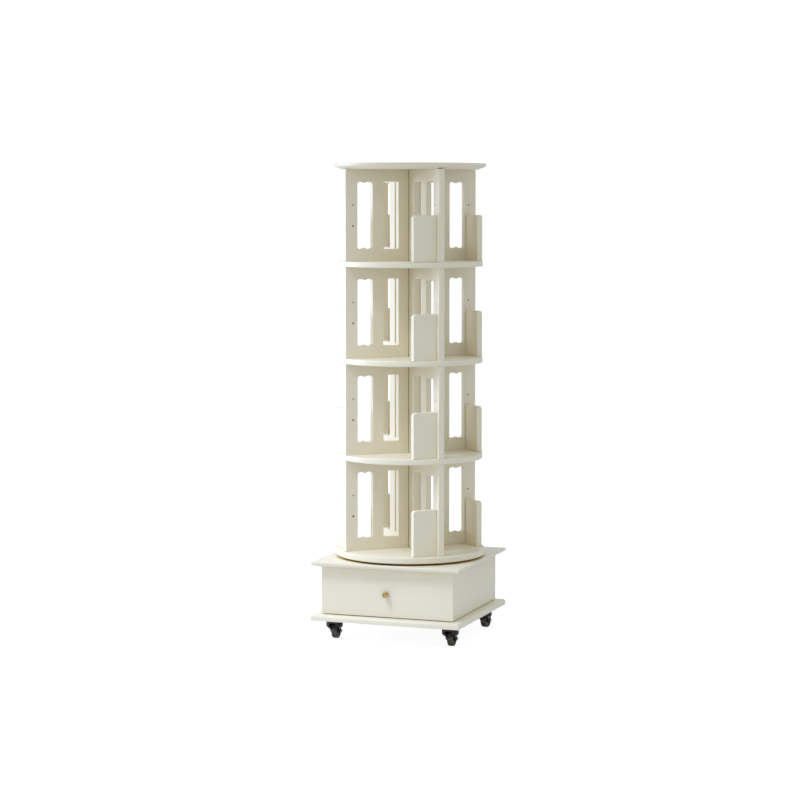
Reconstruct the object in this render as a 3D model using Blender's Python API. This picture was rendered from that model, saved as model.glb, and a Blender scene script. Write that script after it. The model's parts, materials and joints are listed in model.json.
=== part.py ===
# Revolving bookcase: a four-tier carousel that turns on a square base with one
# drawer, and the base stands on four swivel casters.
#
# Metres, +Z up. The origin is on the floor under the carousel's axis. The drawer
# front faces -Y. The carousel stands turned by half a quarter to the base, so its
# panels point at the base's corners.

import math

import bmesh
import bpy
from mathutils import Matrix, Vector

# Shared clearances
SEAT_GAP = 0.0003            # between pieces that rest on each other
FULL_TURN = 2.0 * math.pi
QUARTER_TURN = 0.5 * math.pi

# Base
BASE_BOARD_THICKNESS = 0.020
CASE_SIDE_LENGTH = 0.457     # outside of the square case
CASE_HEIGHT = 0.156
CASE_BOARD_THICKNESS = 0.016
CASE_REBATE_HEIGHT = 0.0025  # shadow line along the case's lower edge
CASE_REBATE_DEPTH = 0.005
LOWER_BOARD_ROUND = 0.010    # rounded upper edge of the bottom board

# Carousel
TIER_COUNT = 4
TIER_CLEAR_HEIGHT = 0.302
CAROUSEL_TURN = 0.5 * QUARTER_TURN
SHELF_DIAMETER = 0.483
SHELF_THICKNESS = 0.018
TOP_BOARD_LEDGE = 0.0105     # how far the top board's rim passes the shelves
TOP_BOARD_THICKNESS = 0.020
TURNTABLE_LEDGE = 0.0085     # how far the turntable's rim passes the shelves
TURNTABLE_THICKNESS = 0.020
SHELF_EDGE_ROUND = 0.0025
BOARD_EDGE_CHAMFER = 0.0015
DISC_SEGMENTS = 64

# Moulded edge shared by the top board and the base's top board
MOULDING_INSET = 0.028       # how far it draws in, and how far the base boards pass the case
MOULDING_BAND = 0.008        # upright band above the curve
MOULDING_POWER_SHARE = 1.5   # bend of the curve, 1 is a straight slope
MOULDING_STEPS = 5

# Cross boards: two per tier, halved into each other
PANEL_THICKNESS = 0.019
PANEL_END_INSET = 0.0025     # from a shelf's rim to the panel's end
PANEL_NOTCH_CLEARANCE = 0.001  # on each side of the board that goes through the notch
SLOT_CENTRE_STILE = 0.0475   # solid board from the carousel's axis to the inner slot
SLOT_MIDDLE_STILE = 0.039    # between the two slots
SLOT_END_STILE = 0.0425      # from the outer slot to the panel's end
SLOT_RAIL = 0.040            # solid board above and below a slot
SLOT_CORNER_ROUND = 0.003    # corners of the inner slots, which have straight ends
SLOT_CORNER_STEPS = 2
SLOT_CUSP = 0.0045           # small point in the middle of each end of the outer slots
SLOT_SHOULDER = 0.007        # how far the outer slots' corners are rounded
SLOT_CUSP_STEPS = 3
SLOT_SHOULDER_STEPS = 2
PEG_HOLE_DIAMETER = 0.006
PEG_HOLE_HEIGHT = 0.185
PEG_HOLE_SEGMENTS = 8

# Book stops
STOP_END_MARGIN = 0.017      # from the stop's outer face to the panel's end
STOP_THICKNESS = 0.019
STOP_REACH = 0.093           # from the panel's middle plane to the free edge
STOP_HEIGHT = 0.152
STOP_CORNER_ROUND = 0.012
STOP_CORNER_STEPS = 4

# Bearing between base and carousel
BEARING_GAP = 0.007
BEARING_OUTER_DIAMETER = 0.200
BEARING_RING_WIDTH = 0.030   # from the bore to the outer edge
BEARING_SEGMENTS = 32

# Drawer
DRAWER_FRONT_THICKNESS = 0.016
DRAWER_FRONT_REVEAL = 0.0015  # between the front and the case's front edges
DRAWER_FRONT_LOWER_GAP = 0.0025
DRAWER_FRONT_UPPER_GAP = 0.0005
DRAWER_FRONT_CHAMFER = 0.0008
DRAWER_SIDE_CLEARANCE = 0.006
DRAWER_SIDE_THICKNESS = 0.012
DRAWER_BOX_LIFT = 0.012      # above the bottom board
DRAWER_BOX_HEADROOM = 0.026  # under the top board
DRAWER_BOX_BACK_ROOM = 0.025
DRAWER_BOTTOM_THICKNESS = 0.006
DRAWER_BOTTOM_LIFT = 0.006
RUNNER_HEIGHT = 0.010
RUNNER_LIFT = 0.050          # above the drawer box's lower edge
RUNNER_GROOVE_DEPTH = 0.006

# Knob
KNOB_DIAMETER = 0.0195
KNOB_HEAD_LENGTH = 0.018
KNOB_NECK_DIAMETER = 0.011
KNOB_NECK_LENGTH = 0.0035
KNOB_EDGE_ROUND = 0.0015
KNOB_SEGMENTS = 20

# Casters
CASTER_SIDE_INSET = 0.0535   # swivel axis to the bottom board's side edge
CASTER_FRONT_INSET = 0.0785  # swivel axis to its front or back edge
CASTER_PLATE_SIDE = 0.062
CASTER_PLATE_THICKNESS = 0.0025
CASTER_PLATE_CORNER = 0.008
CASTER_PLATE_CORNER_STEPS = 2
CASTER_SCREW_INSET = 0.008   # screw hole to the plate's edges
CASTER_SCREW_HOLE = 0.005
CASTER_SCREW_SEGMENTS = 6
CASTER_PIN_DIAMETER = 0.010
CASTER_NECK_DIAMETER = 0.038
CASTER_NECK_LENGTH = 0.003
CASTER_CROWN_DIAMETER = 0.056
CASTER_CROWN_LENGTH = 0.0095
CASTER_CROWN_ROUND = 0.002
CASTER_SKIRT_DROP = 0.012    # how far the crown's rim hangs down beside the wheel
CASTER_SEGMENTS = 24
CASTER_TRAIL = 0.017         # swivel axis to axle
FORK_TOP_WIDTH = 0.0455
FORK_LEG_THICKNESS = 0.0043
FORK_SHOULDER_RISE = 0.006   # from the axle up to where the legs start to spread
FORK_BOSS_RADIUS = 0.009
FORK_TOP_HALF_LENGTH = 0.016
FORK_BOSS_STEPS = 5
WHEEL_DIAMETER = 0.050
WHEEL_WIDTH = 0.020
WHEEL_SHOULDER = 0.003
WHEEL_DISH = 0.002           # how far the wheel's web is set in
WHEEL_RIM_WIDTH = 0.006
WHEEL_HUB_DIAMETER = 0.014
WHEEL_SIDE_CLEARANCE = 0.0012
WHEEL_TOP_CLEARANCE = 0.0054
WHEEL_SEGMENTS = 28
AXLE_DIAMETER = 0.006
AXLE_HEAD_DIAMETER = 0.011
AXLE_HEAD_LENGTH = 0.005
AXLE_SEGMENTS = 12
# Which way each caster trails, front left, front right, back right, back left
CASTER_TRAIL_DEGREES = (93.0, 92.0, 84.0, 118.0)

CUT_OVERRUN = 0.002

# Sizes worked out from the ones above, heights from the floor upwards
CASE_HALF = CASE_SIDE_LENGTH / 2.0
BASE_HALF = CASE_HALF + MOULDING_INSET
PANEL_HALF = PANEL_THICKNESS / 2.0
SHELF_RADIUS = SHELF_DIAMETER / 2.0
TOP_BOARD_RADIUS = SHELF_RADIUS + TOP_BOARD_LEDGE
TURNTABLE_RADIUS = SHELF_RADIUS + TURNTABLE_LEDGE
PANEL_REACH = SHELF_RADIUS - PANEL_END_INSET
SLOT_WIDTH = (PANEL_REACH - SLOT_CENTRE_STILE - SLOT_MIDDLE_STILE - SLOT_END_STILE) / 2.0
STOP_MIDDLE = PANEL_REACH - STOP_END_MARGIN - STOP_THICKNESS / 2.0
RUNNER_THICKNESS = DRAWER_SIDE_CLEARANCE + RUNNER_GROOVE_DEPTH - 2.0 * SEAT_GAP
CASTER_CROWN_LOW = WHEEL_DIAMETER + WHEEL_TOP_CLEARANCE
CASTER_CROWN_HIGH = CASTER_CROWN_LOW + CASTER_CROWN_LENGTH
CASTER_NECK_HIGH = CASTER_CROWN_HIGH + CASTER_NECK_LENGTH
CASTER_PLATE_LOW = CASTER_NECK_HIGH + SEAT_GAP
CASTER_HEIGHT = CASTER_PLATE_LOW + CASTER_PLATE_THICKNESS + SEAT_GAP
BASE_BOTTOM_LOW = CASTER_HEIGHT
BASE_BOTTOM_HIGH = BASE_BOTTOM_LOW + BASE_BOARD_THICKNESS
CASE_LOW = BASE_BOTTOM_HIGH
CASE_HIGH = CASE_LOW + CASE_HEIGHT
BASE_TOP_HIGH = CASE_HIGH + BASE_BOARD_THICKNESS
TURNTABLE_LOW = BASE_TOP_HIGH + BEARING_GAP
TURNTABLE_HIGH = TURNTABLE_LOW + TURNTABLE_THICKNESS
TIER_PITCH = TIER_CLEAR_HEIGHT + SHELF_THICKNESS
CAROUSEL_HIGH = TURNTABLE_HIGH + TIER_COUNT * TIER_PITCH - SHELF_THICKNESS


def clear_scene():
    """Start from an empty scene."""
    for old in list(bpy.data.objects):
        bpy.data.objects.remove(old, do_unlink=True)


def srgb(hex_text):
    """A colour written as rrggbb, as linear red, green, blue and alpha."""
    values = []
    for start in (0, 2, 4):
        share = int(hex_text[start:start + 2], 16) / 255.0
        if share <= 0.04045:
            values.append(share / 12.92)
        else:
            values.append(((share + 0.055) / 1.055) ** 2.4)
    return (*values, 1.0)


def make_material(name, hex_text, roughness, metallic):
    """One Principled material."""
    material = bpy.data.materials.new(name)
    material.use_nodes = True
    shader = material.node_tree.nodes["Principled BSDF"]
    shader.inputs["Base Color"].default_value = srgb(hex_text)
    shader.inputs["Roughness"].default_value = roughness
    shader.inputs["Metallic"].default_value = metallic
    material.diffuse_color = srgb(hex_text)
    return material


def make_materials():
    """Every finish on the object."""
    return {
        "painted_board": make_material("painted_board", "EAE6D8", 0.45, 0.0),
        "drawer_wood": make_material("drawer_wood", "C9A878", 0.60, 0.0),
        "knob_brass": make_material("knob_brass", "C9A85A", 0.28, 1.0),
        "bearing_steel": make_material("bearing_steel", "9A9B98", 0.40, 1.0),
        "caster_black": make_material("caster_black", "1A1A1B", 0.35, 0.0),
        "wheel_black": make_material("wheel_black", "232324", 0.55, 0.0),
        "axle_steel": make_material("axle_steel", "A8A8A6", 0.30, 1.0),
    }


def make_empty(name, location, turn=0.0, parent=None):
    """The frame of one body, on its joint's axis."""
    empty = bpy.data.objects.new(name, None)
    empty.empty_display_size = PANEL_THICKNESS
    empty.location = location
    empty.rotation_euler = (0.0, 0.0, turn)
    empty.parent = parent
    bpy.context.scene.collection.objects.link(empty)
    return empty


def finish_object(name, mesh, material, parent, location, rotation=(0.0, 0.0, 0.0)):
    """Put a mesh in the scene under its body's frame."""
    piece = bpy.data.objects.new(name, mesh)
    if not mesh.materials:
        mesh.materials.append(material)
    piece.location = location
    piece.rotation_euler = rotation
    piece.parent = parent
    bpy.context.scene.collection.objects.link(piece)
    return piece


def mesh_from_bmesh(name, built, smooth_degrees=None):
    """Turn the built shape into a mesh with its faces pointing out."""
    bmesh.ops.recalc_face_normals(built, faces=built.faces)
    mesh = bpy.data.meshes.new(name)
    built.to_mesh(mesh)
    built.free()
    if smooth_degrees is not None:
        mesh.shade_smooth()
        mesh.set_sharp_from_angle(angle=math.radians(smooth_degrees))
    return mesh


SMOOTH_DEGREES = 30.0


def prism_mesh(name, outline, thickness, holes=(), smooth_degrees=None):
    """A flat plate: an outline with holes in local XY, thickness about z = 0."""
    built = bmesh.new()
    edges = []
    for loop in (outline, *holes):
        corners = [built.verts.new((x, y, -thickness / 2.0)) for x, y in loop]
        for index, corner in enumerate(corners):
            edges.append(built.edges.new((corner, corners[index - 1])))
    bmesh.ops.triangle_fill(built, use_beauty=True, use_dissolve=False, edges=edges)
    grown = bmesh.ops.extrude_face_region(built, geom=list(built.faces))
    moved = [part for part in grown["geom"] if isinstance(part, bmesh.types.BMVert)]
    bmesh.ops.translate(built, verts=moved, vec=(0.0, 0.0, thickness))
    return mesh_from_bmesh(name, built, smooth_degrees)


def ring_stack_mesh(name, rings, closed_loop=False, smooth_degrees=None):
    """Join rings of points with equal counts. Ends are capped, or meet if closed."""
    built = bmesh.new()
    rows = [[built.verts.new(point) for point in ring] for ring in rings]
    pairs = list(zip(rows, rows[1:]))
    if closed_loop:
        pairs.append((rows[-1], rows[0]))
    for lower, upper in pairs:
        for index in range(len(lower)):
            built.faces.new((lower[index - 1], lower[index], upper[index], upper[index - 1]))
    if not closed_loop:
        built.faces.new(rows[0])
        built.faces.new(rows[-1])
    return mesh_from_bmesh(name, built, smooth_degrees)


def circle_points(radius, height, segments):
    """One level ring of a turned piece."""
    points = []
    for index in range(segments):
        angle = FULL_TURN * index / segments
        points.append((radius * math.cos(angle), radius * math.sin(angle), height))
    return points


def turned_mesh(name, profile, segments, bored=False):
    """A piece turned about local Z from (radius, height) points."""
    rings = [circle_points(radius, height, segments) for radius, height in profile]
    return ring_stack_mesh(name, rings, bored, SMOOTH_DEGREES)


def square_points(half, height):
    """One level square of a moulded board."""
    return [(-half, -half, height), (half, -half, height), (half, half, height), (-half, half, height)]


def box_mesh(name, size):
    """A block of this size about the origin."""
    built = bmesh.new()
    bmesh.ops.create_cube(built, size=1.0, matrix=Matrix.Diagonal((*size, 1.0)))
    return mesh_from_bmesh(name, built)


def place_box(name, low, high, material, parent):
    """A block between two corners."""
    size = [top - bottom for bottom, top in zip(low, high)]
    middle = [(top + bottom) / 2.0 for bottom, top in zip(low, high)]
    return finish_object(name, box_mesh(name, size), material, parent, middle)


def add_chamfer(piece, width, segments=1):
    """Break a piece's edges with a Bevel modifier."""
    bevel = piece.modifiers.new("edge_break", "BEVEL")
    bevel.width = width
    bevel.segments = segments
    bevel.limit_method = "ANGLE"
    return bevel


def arc_points(centre, radius, start_degrees, end_degrees, steps):
    """Points along an arc, both ends included."""
    points = []
    for index in range(steps + 1):
        angle = math.radians(start_degrees + (end_degrees - start_degrees) * index / steps)
        points.append((centre[0] + radius * math.cos(angle), centre[1] + radius * math.sin(angle)))
    return points


def moulding_profile(edge, high, thickness):
    """(distance out, height) points of the moulded edge, top to underside."""
    curve_height = thickness - MOULDING_BAND
    points = [(edge - BOARD_EDGE_CHAMFER, high), (edge, high - BOARD_EDGE_CHAMFER)]
    for index in range(MOULDING_STEPS + 1):
        share = index / MOULDING_STEPS
        inset = MOULDING_INSET * share ** MOULDING_POWER_SHARE
        points.append((edge - inset, high - MOULDING_BAND - curve_height * share))
    return points


# Base


def make_base_top_board(materials, base):
    """Square board with a moulded edge, on the case."""
    profile = moulding_profile(BASE_HALF, BASE_TOP_HIGH, BASE_BOARD_THICKNESS)
    rings = [square_points(out, height) for out, height in profile]
    mesh = ring_stack_mesh("base_top_board", rings)
    finish_object("base_top_board", mesh, materials["painted_board"], base, (0.0, 0.0, 0.0))


def make_base_bottom_board(materials, base):
    """Square board with a rounded upper edge, under the case."""
    high = BASE_BOTTOM_HIGH - SEAT_GAP
    centre = (BASE_HALF - LOWER_BOARD_ROUND, high - LOWER_BOARD_ROUND)
    profile = arc_points(centre, LOWER_BOARD_ROUND, 90.0, 0.0, MOULDING_STEPS)
    profile.append((BASE_HALF, BASE_BOTTOM_LOW + BOARD_EDGE_CHAMFER))
    profile.append((BASE_HALF - BOARD_EDGE_CHAMFER, BASE_BOTTOM_LOW))
    rings = [square_points(out, height) for out, height in profile]
    mesh = ring_stack_mesh("base_bottom_board", rings)
    finish_object("base_bottom_board", mesh, materials["painted_board"], base, (0.0, 0.0, 0.0))


def make_case_side(name, sign, materials, base):
    """Upright side of the case, with the shadow line cut along its foot."""
    front = -CASE_HALF + DRAWER_FRONT_THICKNESS + DRAWER_FRONT_REVEAL
    length = CASE_HALF - front
    height = CASE_HEIGHT - SEAT_GAP
    inner = CASE_HALF - CASE_BOARD_THICKNESS
    outline = [
        (inner, 0.0),
        (CASE_HALF - CASE_REBATE_DEPTH, 0.0),
        (CASE_HALF - CASE_REBATE_DEPTH, CASE_REBATE_HEIGHT),
        (CASE_HALF, CASE_REBATE_HEIGHT),
        (CASE_HALF, height),
        (inner, height),
    ]
    outline = [(sign * x, z) for x, z in outline]
    mesh = prism_mesh(name, outline, length)
    place = (0.0, front + length / 2.0, CASE_LOW)
    finish_object(name, mesh, materials["painted_board"], base, place, (QUARTER_TURN, 0.0, 0.0))


def make_case_back(materials, base):
    """Back of the case, between the sides."""
    half = CASE_HALF - CASE_BOARD_THICKNESS - SEAT_GAP
    low = (-half, CASE_HALF - CASE_BOARD_THICKNESS, CASE_LOW)
    high = (half, CASE_HALF, CASE_HIGH - SEAT_GAP)
    place_box("case_back", low, high, materials["painted_board"], base)


def make_runner(name, sign, materials, base):
    """Wooden strip on a case side that the drawer's groove rides on."""
    outer = CASE_HALF - CASE_BOARD_THICKNESS - SEAT_GAP
    ends = sorted((sign * outer, sign * (outer - RUNNER_THICKNESS)))
    low_z = CASE_LOW + DRAWER_BOX_LIFT + RUNNER_LIFT
    front = -CASE_HALF + DRAWER_FRONT_THICKNESS + DRAWER_FRONT_REVEAL
    back = CASE_HALF - CASE_BOARD_THICKNESS - SEAT_GAP
    low = (ends[0], front, low_z)
    high = (ends[1], back, low_z + RUNNER_HEIGHT)
    place_box(name, low, high, materials["drawer_wood"], base)


def bearing_mesh(name, thickness):
    """Flat bearing ring, its underside at local z = 0."""
    outer = BEARING_OUTER_DIAMETER / 2.0
    inner = outer - BEARING_RING_WIDTH
    profile = [(outer, 0.0), (outer, thickness), (inner, thickness), (inner, 0.0)]
    return turned_mesh(name, profile, BEARING_SEGMENTS, bored=True)


def make_bearing(materials, base, carousel):
    """Lower ring on the base, upper ring under the turntable."""
    thickness = (BEARING_GAP - 3.0 * SEAT_GAP) / 2.0
    low = BASE_TOP_HIGH + SEAT_GAP
    steel = materials["bearing_steel"]
    finish_object("bearing_lower_ring", bearing_mesh("bearing_lower_ring", thickness), steel, base,
                  (0.0, 0.0, low))
    finish_object("bearing_upper_ring", bearing_mesh("bearing_upper_ring", thickness), steel, carousel,
                  (0.0, 0.0, low + thickness + SEAT_GAP))


# Carousel


def disc_profile(radius, low, high):
    """(radius, height) points of a plain disc with eased edges."""
    ease = SHELF_EDGE_ROUND
    return [(radius - ease, high), (radius, high - ease), (radius, low + ease), (radius - ease, low)]


def make_discs(materials, carousel):
    """Turntable, middle shelves and moulded top board."""
    paint = materials["painted_board"]
    profile = disc_profile(TURNTABLE_RADIUS, TURNTABLE_LOW, TURNTABLE_HIGH)
    mesh = turned_mesh("turntable_board", profile, DISC_SEGMENTS)
    finish_object("turntable_board", mesh, paint, carousel, (0.0, 0.0, 0.0))
    shelf = turned_mesh("shelf", disc_profile(SHELF_RADIUS, 0.0, SHELF_THICKNESS), DISC_SEGMENTS)
    for number in range(1, TIER_COUNT):
        height = TURNTABLE_HIGH + number * TIER_PITCH - SHELF_THICKNESS
        finish_object(f"shelf_{number}", shelf, paint, carousel, (0.0, 0.0, height))
    top_high = CAROUSEL_HIGH + TOP_BOARD_THICKNESS
    profile = moulding_profile(TOP_BOARD_RADIUS, top_high, TOP_BOARD_THICKNESS)
    mesh = turned_mesh("top_board", profile, DISC_SEGMENTS)
    finish_object("top_board", mesh, paint, carousel, (0.0, 0.0, 0.0))


def slot_end(half_width, sign):
    """Half-height offsets of one slot end, from its middle point outwards."""
    points = []
    for index in range(SLOT_CUSP_STEPS + 1):
        share = index / SLOT_CUSP_STEPS
        out = half_width * share / 2.0
        points.append((out, sign * -SLOT_CUSP * (1.0 - share) ** 2))
    for index in range(1, SLOT_SHOULDER_STEPS + 1):
        angle = QUARTER_TURN * index / SLOT_SHOULDER_STEPS
        out = half_width * (1.0 + math.sin(angle)) / 2.0
        points.append((out, sign * -SLOT_SHOULDER * (1.0 - math.cos(angle))))
    return points


def straight_slot(start, low, high):
    """Outline of a tall slot with straight ends and slightly rounded corners."""
    ease = SLOT_CORNER_ROUND
    left = start + ease
    right = start + SLOT_WIDTH - ease
    corners = ((right, high - ease), (left, high - ease), (left, low + ease), (right, low + ease))
    outline = []
    for quarter, corner in enumerate(corners):
        turn = 90.0 * quarter
        outline += arc_points(corner, ease, turn, turn + 90.0, SLOT_CORNER_STEPS)
    return outline


def scalloped_slot(start, low, high):
    """Outline of a tall slot whose ends have two round humps and a small point between them."""
    half_width = SLOT_WIDTH / 2.0
    middle = start + half_width
    outline = []
    for height, sign in ((low, -1.0), (high, 1.0)):
        half = slot_end(half_width, sign)
        left = [(middle - out, height + rise) for out, rise in reversed(half)]
        right = [(middle + out, height + rise) for out, rise in half[1:]]
        end = left + right
        outline += end if sign < 0.0 else end[::-1]
    return outline


def peg_hole(middle, height):
    """Outline of one small round hole."""
    radius = PEG_HOLE_DIAMETER / 2.0
    return arc_points((middle, height), radius, 0.0, 360.0, PEG_HOLE_SEGMENTS)[:-1]


def cross_board_mesh(name, notch_from_top):
    """One long upright board with four slots, halved at its middle."""
    half = PANEL_REACH
    low = SEAT_GAP
    high = TIER_CLEAR_HEIGHT - SEAT_GAP
    notch = PANEL_HALF + PANEL_NOTCH_CLEARANCE
    middle = TIER_CLEAR_HEIGHT / 2.0
    if notch_from_top:
        notch_end = middle - SEAT_GAP / 2.0
        outline = [(-half, low), (half, low), (half, high), (notch, high), (notch, notch_end),
                   (-notch, notch_end), (-notch, high), (-half, high)]
    else:
        notch_end = middle + SEAT_GAP / 2.0
        outline = [(-half, low), (-notch, low), (-notch, notch_end), (notch, notch_end),
                   (notch, low), (half, low), (half, high), (-half, high)]
    holes = []
    inner_start = SLOT_CENTRE_STILE
    outer_start = inner_start + SLOT_WIDTH + SLOT_MIDDLE_STILE
    for start, outline_of_slot in ((inner_start, straight_slot), (outer_start, scalloped_slot)):
        for side_start in (start, -start - SLOT_WIDTH):
            holes.append(outline_of_slot(side_start, SLOT_RAIL, TIER_CLEAR_HEIGHT - SLOT_RAIL))
    for middle_x in (STOP_MIDDLE, -STOP_MIDDLE):
        holes.append(peg_hole(middle_x, PEG_HOLE_HEIGHT))
    return prism_mesh(name, outline, PANEL_THICKNESS, holes)


def book_stop_mesh():
    """Low plate that stands square to a panel, one upper corner rounded."""
    near = PANEL_HALF + SEAT_GAP
    centre = (STOP_REACH - STOP_CORNER_ROUND, STOP_HEIGHT - STOP_CORNER_ROUND)
    outline = [(near, SEAT_GAP), (STOP_REACH, SEAT_GAP)]
    outline += arc_points(centre, STOP_CORNER_ROUND, 0.0, 90.0, STOP_CORNER_STEPS)
    outline.append((near, STOP_HEIGHT))
    return prism_mesh("book_stop", outline, STOP_THICKNESS)


def make_tiers(materials, carousel):
    """Two halved boards and four book stops on each tier."""
    paint = materials["painted_board"]
    board_a = cross_board_mesh("cross_board_a", False)
    board_b = cross_board_mesh("cross_board_b", True)
    stop = book_stop_mesh()
    for tier in range(TIER_COUNT):
        height = TURNTABLE_HIGH + tier * TIER_PITCH
        number = tier + 1
        finish_object(f"cross_board_{number}a", board_a, paint, carousel, (0.0, 0.0, height),
                      (QUARTER_TURN, 0.0, 0.0))
        finish_object(f"cross_board_{number}b", board_b, paint, carousel, (0.0, 0.0, height),
                      (QUARTER_TURN, 0.0, QUARTER_TURN))
        for quarter in range(4):
            turn = QUARTER_TURN * quarter
            place = Matrix.Rotation(turn, 3, "Z") @ Vector((STOP_MIDDLE, 0.0, height))
            finish_object(f"book_stop_{number}_{quarter + 1}", stop, paint, carousel, place,
                          (QUARTER_TURN, 0.0, turn - QUARTER_TURN))


# Drawer


def make_drawer_front(materials, drawer):
    """Flat front that covers the whole front of the case."""
    low = (-CASE_HALF, -CASE_HALF, CASE_LOW + DRAWER_FRONT_LOWER_GAP)
    high = (CASE_HALF, -CASE_HALF + DRAWER_FRONT_THICKNESS, CASE_HIGH - DRAWER_FRONT_UPPER_GAP)
    front = place_box("drawer_front", low, high, materials["painted_board"], drawer)
    add_chamfer(front, DRAWER_FRONT_CHAMFER)


def drawer_box_sizes():
    """Outer half width, front, back, low and high of the drawer box."""
    half = CASE_HALF - CASE_BOARD_THICKNESS - DRAWER_SIDE_CLEARANCE
    front = -CASE_HALF + DRAWER_FRONT_THICKNESS + SEAT_GAP
    back = CASE_HALF - CASE_BOARD_THICKNESS - DRAWER_BOX_BACK_ROOM
    return half, front, back, CASE_LOW + DRAWER_BOX_LIFT, CASE_HIGH - DRAWER_BOX_HEADROOM


def make_drawer_side(name, sign, materials, drawer):
    """Drawer side with a groove along its outer face for the runner."""
    half, front, back, low, high = drawer_box_sizes()
    groove_in = half - RUNNER_GROOVE_DEPTH
    groove_low = low + RUNNER_LIFT - SEAT_GAP
    groove_high = groove_low + RUNNER_HEIGHT + 2.0 * SEAT_GAP
    inner = half - DRAWER_SIDE_THICKNESS
    outline = [(inner, low), (half, low), (half, groove_low), (groove_in, groove_low),
               (groove_in, groove_high), (half, groove_high), (half, high), (inner, high)]
    outline = [(sign * x, z) for x, z in outline]
    mesh = prism_mesh(name, outline, back - front)
    place = (0.0, (front + back) / 2.0, 0.0)
    finish_object(name, mesh, materials["drawer_wood"], drawer, place, (QUARTER_TURN, 0.0, 0.0))


def make_drawer_box(materials, drawer):
    """Sides, back and bottom of the drawer."""
    wood = materials["drawer_wood"]
    half, front, back, low, high = drawer_box_sizes()
    make_drawer_side("drawer_left_side", -1.0, materials, drawer)
    make_drawer_side("drawer_right_side", 1.0, materials, drawer)
    inner = half - DRAWER_SIDE_THICKNESS - SEAT_GAP
    place_box("drawer_back", (-inner, back - DRAWER_SIDE_THICKNESS, low), (inner, back, high), wood, drawer)
    bottom_low = low + DRAWER_BOTTOM_LIFT
    bottom_back = back - DRAWER_SIDE_THICKNESS - SEAT_GAP
    place_box("drawer_bottom", (-inner, front, bottom_low),
              (inner, bottom_back, bottom_low + DRAWER_BOTTOM_THICKNESS), wood, drawer)


def make_knob(materials, drawer):
    """Short round knob in the middle of the drawer front."""
    neck = KNOB_NECK_DIAMETER / 2.0
    head = KNOB_DIAMETER / 2.0
    start = SEAT_GAP
    head_start = start + KNOB_NECK_LENGTH
    end = head_start + KNOB_HEAD_LENGTH
    ease = KNOB_EDGE_ROUND
    profile = [(neck, start), (neck, head_start), (head - ease, head_start), (head, head_start + ease),
               (head, end - ease), (head - ease, end)]
    mesh = turned_mesh("drawer_knob", profile, KNOB_SEGMENTS)
    place = (0.0, -CASE_HALF, (CASE_LOW + CASE_HIGH) / 2.0)
    finish_object("drawer_knob", mesh, materials["knob_brass"], drawer, place, (QUARTER_TURN, 0.0, 0.0))


# Casters


def axle_height():
    """The wheel stands on one of its flats, so the axle is a touch under its radius."""
    return WHEEL_DIAMETER / 2.0 * math.cos(math.pi / WHEEL_SEGMENTS)


def caster_plate_mesh():
    """Mounting plate with four screw holes and the pin's hole."""
    half = CASTER_PLATE_SIDE / 2.0
    corner = half - CASTER_PLATE_CORNER
    outline = []
    corners = ((corner, corner), (-corner, corner), (-corner, -corner), (corner, -corner))
    for quarter, centre in enumerate(corners):
        outline += arc_points(centre, CASTER_PLATE_CORNER, 90.0 * quarter, 90.0 * (quarter + 1),
                              CASTER_PLATE_CORNER_STEPS)
    holes = [arc_points((0.0, 0.0), CASTER_PIN_DIAMETER / 2.0 + SEAT_GAP, 0.0, 360.0, AXLE_SEGMENTS)[:-1]]
    out = half - CASTER_SCREW_INSET
    for x, y in ((out, out), (-out, out), (-out, -out), (out, -out)):
        holes.append(arc_points((x, y), CASTER_SCREW_HOLE / 2.0, 0.0, 360.0, CASTER_SCREW_SEGMENTS)[:-1])
    return prism_mesh("caster_plate", outline, CASTER_PLATE_THICKNESS, holes)


def temporary_object(name, mesh, rotation=(0.0, 0.0, 0.0), location=(0.0, 0.0, 0.0)):
    """A shape that another one is cut with or joined to."""
    shape = bpy.data.objects.new(name, mesh)
    shape.rotation_euler = rotation
    shape.location = location
    shape.hide_render = True
    shape.display_type = "WIRE"
    bpy.context.scene.collection.objects.link(shape)
    return shape


def combine(target, operation, other):
    """Add a Boolean modifier."""
    modifier = target.modifiers.new(operation.lower(), "BOOLEAN")
    modifier.operation = operation
    modifier.solver = "EXACT"
    modifier.object = other


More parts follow.
